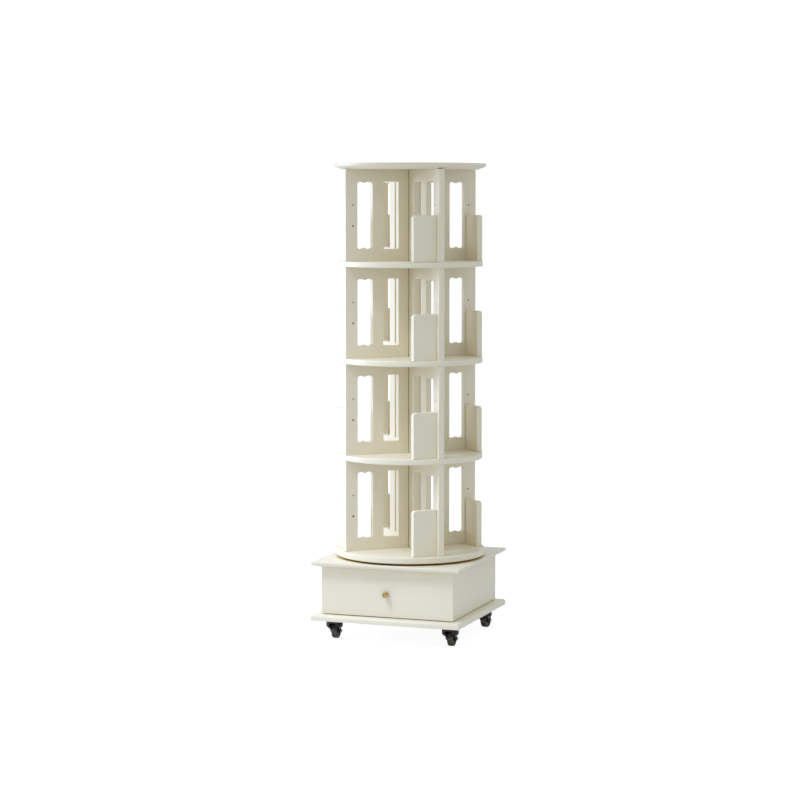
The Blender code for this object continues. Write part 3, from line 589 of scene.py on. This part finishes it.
# %% Top board
MOULDING_INSET = 0.028
MOULDING_BAND = 0.008
MOULDING_POWER_SHARE = 1.5
MOULDING_STEPS = 14
BAND_ROUND = 0.0015


def moulded_profile(radius, low, high):
    """Profile of a disc with the moulded edge."""
    profile = [(radius - BAND_ROUND - FLAT_MARGIN, high)]
    profile += arc((radius - BAND_ROUND, high - BAND_ROUND), BAND_ROUND, 90.0, 0.0)
    curve = high - low - MOULDING_BAND
    for index in range(MOULDING_STEPS + 1):
        share = index / MOULDING_STEPS
        inset = MOULDING_INSET * share ** MOULDING_POWER_SHARE
        profile.append((radius - inset, high - MOULDING_BAND - curve * share))
    profile.append((radius - MOULDING_INSET - FLAT_MARGIN, low))
    return profile


low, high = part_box("top_board")
mesh = turned("top_board", moulded_profile(high.x, low.z, high.z), DISC_STEPS)
show("moulded_top_board", mesh, paint_flat, "carousel", ["top_board"])
print("top board:", len(mesh.polygons), "faces")

# %% [markdown]
# ## Slotted cross boards
#
# Each tier has two long boards that cross at the axis, each notched to half its height so that they slide
# into one another, with a hair of clearance in the corners. Four tall slots pass through each board. The
# inner slots have straight ends with small rounds. The outer slots end in two shallow humps with a small
# point between them and rounded shoulders, which is a shape with a rule, so its outline comes from a
# formula.

# %% Sizes of a tier
TIERS = 4
CAROUSEL_TURN = math.radians(45.0)
QUARTER_TURN = math.pi / 2.0

tier_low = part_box("turntable_board")[1].z
low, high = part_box("shelf_1")
TIER_CLEAR = low.z - tier_low
TIER_PITCH = high.z - tier_low
print("tier:", round(TIER_CLEAR, 4), "m clear, one every", round(TIER_PITCH, 4), "m")

# %% Outlines of the slots
SLOT_WIDTH = 0.055
SLOT_RAIL = 0.040
SLOT_CORNER = 0.003
SLOT_CORNER_STEPS = 5
SLOT_CUSP = 0.0045
SLOT_SHOULDER = 0.007
SLOT_STEPS = 8


def straight_slot(start, low, high):
    """Outline of an inner slot: straight ends, small rounded corners."""
    left, right = start + SLOT_CORNER, start + SLOT_WIDTH - SLOT_CORNER
    bottom, top = low + SLOT_CORNER, high - SLOT_CORNER
    outline = []
    for corner, turn in (((left, bottom), 180.0), ((right, bottom), 270.0), ((right, top), 0.0),
                         ((left, top), 90.0)):
        outline += arc(corner, SLOT_CORNER, turn, turn + 90.0, SLOT_CORNER_STEPS)
    return outline


def scalloped_slot(start, low, high):
    """Outline of an outer slot, whose ends have two humps with a small point between them."""
    half = SLOT_WIDTH / 2.0
    end = []
    for index in range(SLOT_STEPS + 1):
        share = index / SLOT_STEPS
        end.append((half * share / 2.0, -SLOT_CUSP * (1.0 - share) ** 2))
    for index in range(1, SLOT_STEPS + 1):
        angle = QUARTER_TURN * index / SLOT_STEPS
        end.append((half * (1.0 + math.sin(angle)) / 2.0, -SLOT_SHOULDER * (1.0 - math.cos(angle))))
    middle = start + half
    right_first = [(middle + out, rise) for out, rise in end]
    whole = [(middle - out, rise) for out, rise in reversed(end[1:])] + right_first
    lower = [(x, low - rise) for x, rise in whole]
    upper = [(x, high + rise) for x, rise in reversed(whole)]
    return lower + upper


print("an outer slot:", len(scalloped_slot(0.0, SLOT_RAIL, TIER_CLEAR - SLOT_RAIL)), "points")

# %% The two boards of a tier
SEAT_GAP = 0.0003
PANEL_THICKNESS = 0.019
PANEL_REACH = 0.239
PANEL_ROUND = 0.0013
NOTCH_CLEARANCE = 0.0004
SLOT_CENTRE_STILE = 0.0475
SLOT_MIDDLE_STILE = 0.039
STOP_MIDDLE = 0.2125
PEG_HOLE_RADIUS = 0.003
PEG_HOLE_HEIGHT = 0.185
PEG_HOLE_STEPS = 20


def slotted_board(name, notch_on_top):
    """One long board with four slots, two peg holes and the notch at its middle, standing in XZ."""
    low, high = SEAT_GAP, TIER_CLEAR - SEAT_GAP
    notch = PANEL_THICKNESS / 2.0 + NOTCH_CLEARANCE
    reach = PANEL_REACH
    if notch_on_top:
        deep = TIER_CLEAR / 2.0 - SEAT_GAP / 2.0
        outline = [(-reach, low), (reach, low), (reach, high), (notch, high), (notch, deep),
                   (-notch, deep), (-notch, high), (-reach, high)]
    else:
        deep = TIER_CLEAR / 2.0 + SEAT_GAP / 2.0
        outline = [(-reach, low), (-notch, low), (-notch, deep), (notch, deep),
                   (notch, low), (reach, low), (reach, high), (-reach, high)]
    loops = [outline]
    inner = SLOT_CENTRE_STILE
    outer = inner + SLOT_WIDTH + SLOT_MIDDLE_STILE
    for start, slot_shape in ((inner, straight_slot), (outer, scalloped_slot)):
        for left in (start, -start - SLOT_WIDTH):
            loops.append(slot_shape(left, SLOT_RAIL, TIER_CLEAR - SLOT_RAIL))
    for middle in (STOP_MIDDLE, -STOP_MIDDLE):
        loops.append(arc((middle, PEG_HOLE_HEIGHT), PEG_HOLE_RADIUS, 0.0, 360.0, PEG_HOLE_STEPS)[:-1])
    built = bmesh.new()
    edges = []
    for loop in loops:
        corners = [built.verts.new((x, PANEL_THICKNESS / 2.0, z)) for x, z in loop]
        edges += [built.edges.new((corner, corners[index - 1])) for index, corner in enumerate(corners)]
    bmesh.ops.triangle_fill(built, use_beauty=True, use_dissolve=False, edges=edges)
    grown = bmesh.ops.extrude_face_region(built, geom=list(built.faces))
    moved = [part for part in grown["geom"] if isinstance(part, bmesh.types.BMVert)]
    bmesh.ops.translate(built, verts=moved, vec=(0.0, -PANEL_THICKNESS, 0.0))
    bmesh.ops.dissolve_limit(built, angle_limit=FLAT_ANGLE, verts=built.verts, edges=built.edges)
    bmesh.ops.recalc_face_normals(built, faces=built.faces)
    return settled(name, smooth_mesh(name, built), lambda holder: eased(holder, PANEL_ROUND))


board_along = slotted_board("board_along", False)
board_across = slotted_board("board_across", True)
board_across.transform(Matrix.Rotation(QUARTER_TURN, 4, "Z"))
print("one board:", len(board_along.polygons), "faces")

# %% [markdown]
# A thin brown line runs down each of the four corners where the boards cross, as painted shade for the
# shadow in the joint. The corners are all equally far from the axis, and a radius a little larger than that
# picks out a narrow strip of wood colour on both boards.

# %% Paint with painted shade in the joints
# Width and colours of the painted shade down the crossing corners.
JOINT_SHADE_STRIP = 0.0020
JOINT_SHADE_PALE = "BEAE7C"
JOINT_SHADE_DEEP = "AB9A68"

corner = PANEL_THICKNESS / 2.0
joint_shade_radius = math.hypot(corner, corner + JOINT_SHADE_STRIP)
paint_with_joint_shade = wood_shade_near_axis("ivory_paint_joint_shade", AXIS_Z, joint_shade_radius, JOINT_SHADE_PALE, JOINT_SHADE_DEEP)
print("open joint:", round(joint_shade_radius, 4), "m from the axis")

# %% [markdown]
# ## Repeating a tier with Geometry Nodes
#
# Four tiers are the same thing four times, one pitch apart. Copying objects by hand would work, but a node
# tree states the rule once: points in a line, an instance of the tier on each, then Realize Instances so
# that real geometry comes out, then Set Material. The same tree can also turn copies round the axis, which
# the book stops need: four wings, a quarter turn apart.

# %% A tree that repeats a shape


def tree_with_sockets(name, measures, counts=()):
    """A Geometry Nodes tree: a geometry in and out, named measures and counts, and a material input."""
    tree = bpy.data.node_groups.new(name, "GeometryNodeTree")
    sockets = [("Geometry", "Geometry"), *((label, "Float") for label in measures),
               *((label, "Int") for label in counts), ("Material", "Material")]
    for label, kind in sockets:
        tree.interface.new_socket(label, in_out="INPUT", socket_type="NodeSocket" + kind)
    tree.interface.new_socket("Geometry", in_out="OUTPUT", socket_type="NodeSocketGeometry")
    return tree, add(tree, "NodeGroupInput")


def finish_tree(tree, source, geometry):
    """End a tree with real geometry in its material."""
    real = add(tree, "GeometryNodeRealizeInstances", {"Geometry": geometry})
    painted = add(tree, "GeometryNodeSetMaterial", {"Geometry": real.outputs[0],
                                                    "Material": source.outputs["Material"]})
    add(tree, "NodeGroupOutput", {"Geometry": painted.outputs[0]})


def run_tree(name, tree, mesh, values):
    """Run a tree on a mesh with these input values and return the plain mesh."""

    def modify(holder):
        modifier = holder.modifiers.new(tree.name, "NODES")
        modifier.node_group = tree
        for item in tree.interface.items_tree:
            if item.in_out == "INPUT" and item.name in values:
                modifier[item.identifier] = values[item.name]

    return settled(name, mesh, modify)


def repeat_tree():
    """Copies round the axis, then up the tiers."""
    tree, source = tree_with_sockets("repeat_round_and_up", ("Turn", "Start Turn", "Pitch", "Start Height"),
                                     ("Wings", "Tiers"))
    wings = add(tree, "GeometryNodeMeshLine", {"Count": source.outputs["Wings"], "Offset": (0.0, 0.0, 0.0)})
    number = add(tree, "GeometryNodeInputIndex").outputs[0]
    angle = add(tree, "ShaderNodeMath", {0: number, 1: source.outputs["Turn"],
                                         2: source.outputs["Start Turn"]}, operation="MULTIPLY_ADD")
    turn = add(tree, "ShaderNodeCombineXYZ", {"Z": angle.outputs[0]})
    ring = add(tree, "GeometryNodeInstanceOnPoints", {"Points": wings.outputs[0],
                                                      "Instance": source.outputs["Geometry"],
                                                      "Rotation": turn.outputs[0]})
    step = add(tree, "ShaderNodeCombineXYZ", {"Z": source.outputs["Pitch"]})
    start = add(tree, "ShaderNodeCombineXYZ", {"Z": source.outputs["Start Height"]})
    tiers = add(tree, "GeometryNodeMeshLine", {"Count": source.outputs["Tiers"],
                                               "Start Location": start.outputs[0], "Offset": step.outputs[0]})
    stack = add(tree, "GeometryNodeInstanceOnPoints", {"Points": tiers.outputs[0],
                                                       "Instance": ring.outputs[0]})
    finish_tree(tree, source, stack.outputs[0])
    return tree


repeat = repeat_tree()
ONE_TIER_UP = {"Tiers": TIERS, "Pitch": TIER_PITCH, "Start Height": tier_low, "Start Turn": CAROUSEL_TURN,
               "Turn": QUARTER_TURN, "Material": paint_upright}
for letter, board in (("a", board_along), ("b", board_across)):
    mesh = run_tree("cross_boards_" + letter, repeat, board, {**ONE_TIER_UP, "Wings": 1})
    replaced = [f"cross_board_{tier + 1}{letter}" for tier in range(TIERS)]
    # The cross boards carry painted shade down their crossing corners.
    show("cross_boards_" + letter, mesh, paint_with_joint_shade, "carousel", replaced)
    print("cross boards", letter, len(mesh.polygons), "faces")

# %% [markdown]
# ## Book stops
#
# A stop is a low plate that stands square to a wing near its outer end, and keeps the books from sliding
# out. Its free upper corner is rounded. Its outline is filled and given its thickness by a second tree, in
# which Fillet Curve rounds one corner only, and the tree above then sets out the sixteen of them.

# %% Book stops
STOP_REACH = 0.093
STOP_HEIGHT = 0.152
STOP_THICKNESS = 0.019
STOP_CORNER = 0.012
STOP_CORNER_STEPS = 8
STOP_ROUND = 0.0013
ROUNDED_CORNER = 2


def stop_tree():
    """A plate in XZ from the wing's face outwards, with one rounded corner."""
    tree, source = tree_with_sockets("book_stop", ("Near", "Far", "Low", "High", "Corner Radius",
                                                   "Thickness"))
    corners = []
    for across, up in (("Near", "Low"), ("Far", "Low"), ("Far", "High"), ("Near", "High")):
        corner = add(tree, "ShaderNodeCombineXYZ", {"X": source.outputs[across], "Y": source.outputs[up]})
        corners.append(corner.outputs[0])
    outline = add(tree, "GeometryNodeCurvePrimitiveQuadrilateral", mode="POINTS",
                  inputs={f"Point {index + 1}": corner for index, corner in enumerate(corners)})
    number = add(tree, "GeometryNodeInputIndex").outputs[0]
    chosen = add(tree, "FunctionNodeCompare", {2: number, 3: ROUNDED_CORNER}, data_type="INT",
                 operation="EQUAL")
    radius = add(tree, "ShaderNodeMath", {0: chosen.outputs[0], 1: source.outputs["Corner Radius"]},
                 operation="MULTIPLY")
    rounded = add(tree, "GeometryNodeFilletCurve", {"Curve": outline.outputs[0], "Radius": radius.outputs[0],
                                                    "Count": STOP_CORNER_STEPS}, mode="POLY")
    flat = add(tree, "GeometryNodeFillCurve", {"Curve": rounded.outputs[0]}, mode="NGONS")
    back = add(tree, "GeometryNodeFlipFaces", {"Mesh": flat.outputs[0]})
    thickness = source.outputs["Thickness"]
    front = add(tree, "GeometryNodeExtrudeMesh", {"Mesh": flat.outputs[0], "Offset Scale": thickness,
                                                  "Individual": False}, mode="FACES")
    both = add(tree, "GeometryNodeJoinGeometry")
    for part in (front, back):
        connect(tree, both, {0: part.outputs[0]})
    welded = add(tree, "GeometryNodeMergeByDistance", {"Geometry": both.outputs[0],
                                                       "Distance": MERGE_DISTANCE})
    finish_tree(tree, source, welded.outputs[0])
    return tree


stop_mesh = run_tree("book_stop", stop_tree(), bpy.data.meshes.new("empty"), {
    "Near": PANEL_THICKNESS / 2.0 + SEAT_GAP, "Far": STOP_REACH, "Low": SEAT_GAP, "High": STOP_HEIGHT,
    "Corner Radius": STOP_CORNER, "Thickness": STOP_THICKNESS, "Material": paint_upright})
# Stand the plate up, centre its thickness, and turn it to the wing's clockwise side.
stop_mesh.transform(Matrix.Translation((0.0, 0.0, -STOP_THICKNESS / 2.0)))
stop_mesh.transform(Matrix.Rotation(QUARTER_TURN, 4, "X"))
stop_mesh.transform(Matrix.Translation((STOP_MIDDLE, 0.0, 0.0)) @ Matrix.Rotation(-QUARTER_TURN, 4, "Z"))
stop_mesh.shade_smooth()
stop_mesh = settled("book_stop", stop_mesh, lambda holder: eased(holder, STOP_ROUND))
WINGS = 4
stops = run_tree("book_stops", repeat, stop_mesh, {**ONE_TIER_UP, "Wings": WINGS})
show("book_stops", stops, paint_upright, "carousel",
     [f"book_stop_{tier + 1}_{wing + 1}" for tier in range(TIERS) for wing in range(WINGS)])
print("book stops:", len(stops.polygons), "faces")

# %% [markdown]
# ## The knob
#
# A short brass cylinder on a narrower neck, with its edges broken by the lathe tool and a face that is very
# slightly domed. It is turned about Z like the discs, then laid on its side.

# %% Knob
KNOB_RADIUS = 0.00975
KNOB_NECK_RADIUS = 0.0055
KNOB_NECK_LENGTH = 0.0035
KNOB_EDGE = 0.0012
KNOB_DOME = 0.0006
KNOB_DOME_SHARES = (0.05, 0.3, 0.6, 0.8)
KNOB_STEPS = 72

low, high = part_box("drawer_knob")
length = high.y - low.y
profile = [(KNOB_RADIUS * share, length - KNOB_DOME * share ** 2) for share in KNOB_DOME_SHARES]
profile += arc((KNOB_RADIUS - KNOB_EDGE, length - KNOB_DOME - KNOB_EDGE), KNOB_EDGE, 90.0, 0.0)
profile += arc((KNOB_RADIUS - KNOB_EDGE, KNOB_NECK_LENGTH + KNOB_EDGE), KNOB_EDGE, 0.0, -90.0)
profile += [(KNOB_NECK_RADIUS, KNOB_NECK_LENGTH), (KNOB_NECK_RADIUS, 0.0)]
knob = turned("drawer_knob", profile, KNOB_STEPS)
middle = (low + high) / 2.0
knob.transform(Matrix.Translation((middle.x, high.y, middle.z)) @ Matrix.Rotation(QUARTER_TURN, 4, "X"))
show("turned_knob", knob, brass, "drawer", ["drawer_knob"])
print("knob:", len(knob.polygons), "faces")

# %% [markdown]
# ## Casters
#
# Each caster is a wheel in a swivelling black horn. The wheel is a turned shape too, in two parts: a dark
# rubber tyre with a slight crown and rounded shoulders, and a black core with a sunk web and a raised hub.
# The axle is a bolt with a hexagonal head and a nut. The horn keeps its CAD shape, with its triangles
# merged and its round parts shaded smooth.

# %% Wheels, axles and forks
CASTERS = 4
WHEEL_STEPS = 72
WHEEL_HALF_WIDTH = 0.010
TYRE_THICKNESS = 0.0055
TYRE_SHOULDER = 0.003
TYRE_CROWN = 0.0004
TYRE_FLAT = 0.0025                     # half the flat middle of the crown
GROOVE_ROUND = 0.0008
GROOVE_STEPS = 3
CORE_INSET = 0.0015
CORE_HUB_RADIUS = 0.008
CORE_BORE_RADIUS = 0.0033
AXLE_HALF_LENGTH = 0.0205
BOLT_RADIUS = 0.0055
BOLT_HEAD_LENGTH = 0.0045
BOLT_EASE = 0.00075
BOLT_SHANK_RADIUS = 0.0029
HEXAGON = 6
SHANK_STEPS = 24


def mirrored_ring(name, side):
    """A closed ring turned about Z from the profile of its upper half, outermost point first."""
    return turned(name, side + [(distance, -height) for distance, height in reversed(side)], WHEEL_STEPS,
                  closed=True)


def tyre_mesh(radius):
    """Tread with a slight crown, round shoulders and an inner edge that meets the core."""
    half = WHEEL_HALF_WIDTH
    tread = radius - TYRE_CROWN
    inner = radius - TYRE_THICKNESS
    side = [(radius, TYRE_FLAT)]
    side += arc((tread - TYRE_SHOULDER, half - TYRE_SHOULDER), TYRE_SHOULDER, 0.0, 90.0)
    side += arc((inner + GROOVE_ROUND, half - GROOVE_ROUND), GROOVE_ROUND, 90.0, 180.0, GROOVE_STEPS)
    return mirrored_ring("tyre", side)


def core_mesh(radius):
    """Moulded core: a sunk web and a raised hub round the axle."""
    half = WHEEL_HALF_WIDTH
    outer = radius - TYRE_THICKNESS - SEAT_GAP
    web = half - CORE_INSET - GROOVE_ROUND
    side = [(outer, half - GROOVE_ROUND), (outer - GROOVE_ROUND, half - GROOVE_ROUND),
            (outer - 2.0 * GROOVE_ROUND, web), (CORE_HUB_RADIUS + GROOVE_ROUND, web),
            (CORE_HUB_RADIUS, half - GROOVE_ROUND), (CORE_HUB_RADIUS - GROOVE_ROUND, half),
            (CORE_BORE_RADIUS, half)]
    return mirrored_ring("core", side)


def bolt_mesh():
    """A hexagonal head, a shank and a hexagonal nut, about Z."""
    built = bmesh.new()
    end = AXLE_HALF_LENGTH
    inside = end - BOLT_HEAD_LENGTH
    shank = [(BOLT_SHANK_RADIUS, inside), (BOLT_SHANK_RADIUS, -inside)]
    built.from_mesh(turned("shank", shank, SHANK_STEPS))
    for sign in (1.0, -1.0):
        head = [(BOLT_RADIUS - BOLT_EASE, sign * end), (BOLT_RADIUS, sign * (end - BOLT_EASE)),
                (BOLT_RADIUS, sign * inside)]
        built.from_mesh(turned("head", head, HEXAGON))
    mesh = bpy.data.meshes.new("bolt")
    built.to_mesh(mesh)
    built.free()
    return mesh


for number in range(1, CASTERS + 1):
    joint = next(joint for joint in frame["joints"] if joint["name"] == f"wheel_{number}_roll")
    centre = Vector(joint["pos_m"])
    along = Vector(joint["axis"]).to_track_quat("Z", "Y").to_matrix().to_4x4()
    place = Matrix.Translation(centre) @ along
    for name, mesh, finish, body, slot, node in (
            ("tyre", tyre_mesh(centre.z), rubber, "wheel", "wheel_black", "caster_wheel"),
            ("wheel_core", core_mesh(centre.z), nylon, "wheel", "wheel_black", "caster_wheel"),
            ("axle_bolt", bolt_mesh(), zinc, "caster", "axle_steel", "caster_axle")):
        mesh.transform(place)
        show(f"{name}_{number}", mesh, finish, f"{body}_{number}", [f"{node}_{number}"])
    fork = merged_copy(f"caster_fork_{number}")
    fork.set_sharp_from_angle(angle=SMOOTH_ANGLE)
    show(f"horn_{number}", fork, black_coat, f"caster_{number}", [f"caster_fork_{number}"])
    sanded_board(f"caster_plate_{number}", black_coat, "base", SANDED_ROUND / 2.0)
print("casters:", CASTERS)

# %% [markdown]
# ## Screws
#
# Small fasteners repeat, so they are set out by a tree as well. One head is made in the tree: a low cone
# with a cross cut into it by Mesh Boolean. The mesh that goes in is only points, each with the direction
# that its screw faces, and the tree puts a head on each point and turns it that way.

# %% A tree of screw heads
SCREW_STEPS = 24
SCREW_SIZES = ("Head Radius", "Rim Radius", "Head Height", "Cross Length", "Cross Width")


def screw_tree():
    """A cross-head screw on each point, along the point's facing direction."""
    tree, source = tree_with_sockets("screw_heads", SCREW_SIZES)
    wide, rim, height, long, narrow = (source.outputs[size] for size in SCREW_SIZES)
    head = add(tree, "GeometryNodeMeshCone", {"Vertices": SCREW_STEPS, "Radius Top": rim,
                                              "Radius Bottom": wide, "Depth": height})
    cut = add(tree, "GeometryNodeMeshBoolean", {0: head.outputs[0]}, operation="DIFFERENCE", solver="EXACT")
    lift = add(tree, "ShaderNodeCombineXYZ", {"Z": height})
    for first, second in ((long, narrow), (narrow, long)):
        size = add(tree, "ShaderNodeCombineXYZ", {"X": first, "Y": second, "Z": height})
        bar = add(tree, "GeometryNodeMeshCube", {"Size": size.outputs[0]})
        raised = add(tree, "GeometryNodeTransform", {"Geometry": bar.outputs[0],
                                                     "Translation": lift.outputs[0]})
        connect(tree, cut, {1: raised.outputs[0]})
    facing = add(tree, "GeometryNodeInputNamedAttribute", {"Name": "facing"}, data_type="FLOAT_VECTOR")
    aim = add(tree, "FunctionNodeAlignRotationToVector", {"Vector": facing.outputs[0]}, axis="Z")
    heads = add(tree, "GeometryNodeInstanceOnPoints", {
        "Points": source.outputs["Geometry"], "Instance": cut.outputs[0], "Rotation": aim.outputs[0]})
    finish_tree(tree, source, heads.outputs[0])
    return tree


def points_mesh(name, places):
    """A mesh of points, each with the direction that it faces."""
    mesh = bpy.data.meshes.new(name)
    mesh.from_pydata([place for place, facing in places], [], [])
    attribute = mesh.attributes.new("facing", "FLOAT_VECTOR", "POINT")
    for index, (place, facing) in enumerate(places):
        attribute.data[index].vector = facing
    return mesh


screws = screw_tree()
print("screw tree:", len(screws.nodes), "nodes")

# %% [markdown]
# Each stop is held by a blackened countersunk screw through its wing, which shows as a small dark dot on
# the wing's far side. Each caster plate is held by four zinc pan-head screws under the base.

# %% Place the screws
STOP_SCREW_HEIGHT = 0.116
STOP_SCREW = dict(zip(SCREW_SIZES, (0.0036, 0.0032, 0.0012, 0.0040, 0.0009)))
PLATE_SCREW = dict(zip(SCREW_SIZES, (0.0034, 0.0026, 0.0020, 0.0034, 0.0008)))
PLATE_SCREW_INSET = 0.008
SUNK_SHARE = 0.8           # of the head's height that lies below the wood's face

wing_places = []
sunk = STOP_SCREW["Head Height"] * SUNK_SHARE
for tier in range(TIERS):
    for wing in range(WINGS):
        turn = Matrix.Rotation(CAROUSEL_TURN + QUARTER_TURN * wing, 3, "Z")
        facing = turn @ Vector((0.0, 1.0, 0.0))
        spot = turn @ Vector((STOP_MIDDLE, PANEL_THICKNESS / 2.0 - sunk, 0.0))
        spot.z = tier_low + TIER_PITCH * tier + STOP_SCREW_HEIGHT
        wing_places.append((spot, facing))

plate_places = []
downwards = Vector((0.0, 0.0, -1.0))
for number in range(1, CASTERS + 1):
    low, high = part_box(f"caster_plate_{number}")
    for x in (low.x + PLATE_SCREW_INSET, high.x - PLATE_SCREW_INSET):
        for y in (low.y + PLATE_SCREW_INSET, high.y - PLATE_SCREW_INSET):
            plate_places.append((Vector((x, y, low.z)), downwards))

for name, places, sizes, finish, body, slot in (
        ("stop_screws", wing_places, STOP_SCREW, black_coat, "carousel", "caster_black"),
        ("plate_screws", plate_places, PLATE_SCREW, zinc, "base", "axle_steel")):
    mesh = run_tree(name, screws, points_mesh(name, places), {**sizes, "Material": finish})
    show(name, mesh, finish, body)
    print(name, len(places))

# %% [markdown]
# ## What keeps its CAD shape
#
# The two bearing rings are flat, plain and almost hidden, so they only need their zinc finish.

# %% Bearing rings
for node in ("bearing_lower_ring", "bearing_upper_ring"):
    nodes[node].data.materials.clear()
    nodes[node].data.materials.append(zinc)
    print(node, "in", zinc.name)

# %% [markdown]
# ## The floor
#
# The photograph is a studio picture on white. The white floor throws light back up, and more of it near the
# bookcase, which is why the lower tiers look brighter than the upper ones. A faint glow that fades with the
# distance does that here. The floor looks paper white to the camera alone, and gives less light than that.

# %% Floor
FLOOR_SIZE = 60.0
FLOOR_WHITE = "F3F3F3"
FLOOR_ROUGHNESS = 0.9
GLOW_BLUE = "D5D4FF"
GLOW_STRENGTH = 0.055
GLOW_INNER = 0.5
GLOW_OUTER = 1.8
PAPER_WHITE = 1.25
PAPER_SHARE = 0.7

floor_mesh = bpy.data.meshes.new("floor")
half = FLOOR_SIZE / 2.0
floor_mesh.from_pydata([(-half, -half, 0.0), (half, -half, 0.0), (half, half, 0.0), (-half, half, 0.0)],
                       [], [(0, 1, 2, 3)])
floor = bpy.data.objects.new("floor", floor_mesh)
scene.collection.objects.link(floor)
material, tree, shader, place = new_material("white_studio_floor")
away = add(tree, "ShaderNodeVectorMath", {0: place}, operation="LENGTH")
glow = add(tree, "ShaderNodeMapRange", {"Value": away.outputs["Value"], "From Min": GLOW_INNER,
                                        "From Max": GLOW_OUTER, "To Min": GLOW_STRENGTH, "To Max": 0.0},
           interpolation_type="SMOOTHSTEP")
connect(tree, shader, {"Base Color": linear(FLOOR_WHITE), "Roughness": FLOOR_ROUGHNESS,
                       "Emission Color": linear(GLOW_BLUE), "Emission Strength": glow.outputs[0]})
# Paper white for the camera, mixed in so far that only a faint shadow is left under the casters.
paper = add(tree, "ShaderNodeEmission", {"Color": (1.0, 1.0, 1.0, 1.0), "Strength": PAPER_WHITE})
seen = add(tree, "ShaderNodeLightPath")
share = add(tree, "ShaderNodeMath", {0: seen.outputs["Is Camera Ray"], 1: PAPER_SHARE},
            operation="MULTIPLY")
mixed = add(tree, "ShaderNodeMixShader", {0: share.outputs[0], 1: shader.outputs[0], 2: paper.outputs[0]})
connect(tree, tree.nodes["Material Output"], {"Surface": mixed.outputs[0]})
floor_mesh.materials.append(material)
print("floor:", FLOOR_SIZE, "m square")

# %% [markdown]
# ## The light
#
# The main light comes from the left side, for the faces that look that way are almost white. A narrow soft
# beam falls on the base from the front left, and a pale dome fills in from all round. The paint looks
# neutral where the light falls on it and warm in the corners, so the lamps are blue. The dome, like the
# floor, looks white to the camera alone.

# %% Light
DOME_COLOUR = (0.836, 0.912, 1.0, 1.0)
DOME_STRENGTH = 0.727
BACKDROP_WHITE = 1.05
LAMP_COLOUR = (0.664, 0.75, 1.0)
LAMPS = (
    # name, azimuth in degrees, distance from the axis, height, point aimed at, size, beam in degrees, power
    ("side_light", 180.0, 3.0, 1.2, (0.0, 0.0, 0.6), 1.8, 180.0, 58.0),
    ("base_beam", 238.0, 1.4, 2.2, (-0.05, -0.15, 0.27), 0.8, 50.0, 2.8),
)

world = bpy.data.worlds.new("studio")
world.use_nodes = True
tree = world.node_tree
tree.nodes.clear()
dome = add(tree, "ShaderNodeBackground", {"Color": DOME_COLOUR, "Strength": DOME_STRENGTH})
backdrop = add(tree, "ShaderNodeBackground", {"Color": (1.0, 1.0, 1.0, 1.0), "Strength": BACKDROP_WHITE})
seen = add(tree, "ShaderNodeLightPath")
mixed = add(tree, "ShaderNodeMixShader", {0: seen.outputs["Is Camera Ray"], 1: dome.outputs[0],
                                          2: backdrop.outputs[0]})
add(tree, "ShaderNodeOutputWorld", {"Surface": mixed.outputs[0]})
scene.world = world

for name, azimuth, distance, height, aim, size, beam, power in LAMPS:
    light_data = bpy.data.lights.new(name, "AREA")
    light_data.shape = "DISK"
    light_data.size = size
    light_data.spread = math.radians(beam)
    light_data.energy = power
    light_data.color = LAMP_COLOUR
    angle = math.radians(azimuth)
    spot = Vector((distance * math.cos(angle), distance * math.sin(angle), height))
    light = bpy.data.objects.new(name, light_data)
    light.visible_camera = False
    light.location = spot
    light.rotation_euler = (Vector(aim) - spot).to_track_quat("-Z", "Y").to_euler()
    scene.collection.objects.link(light)
scene.view_settings.view_transform = "Standard"
print("lights:", len(LAMPS))
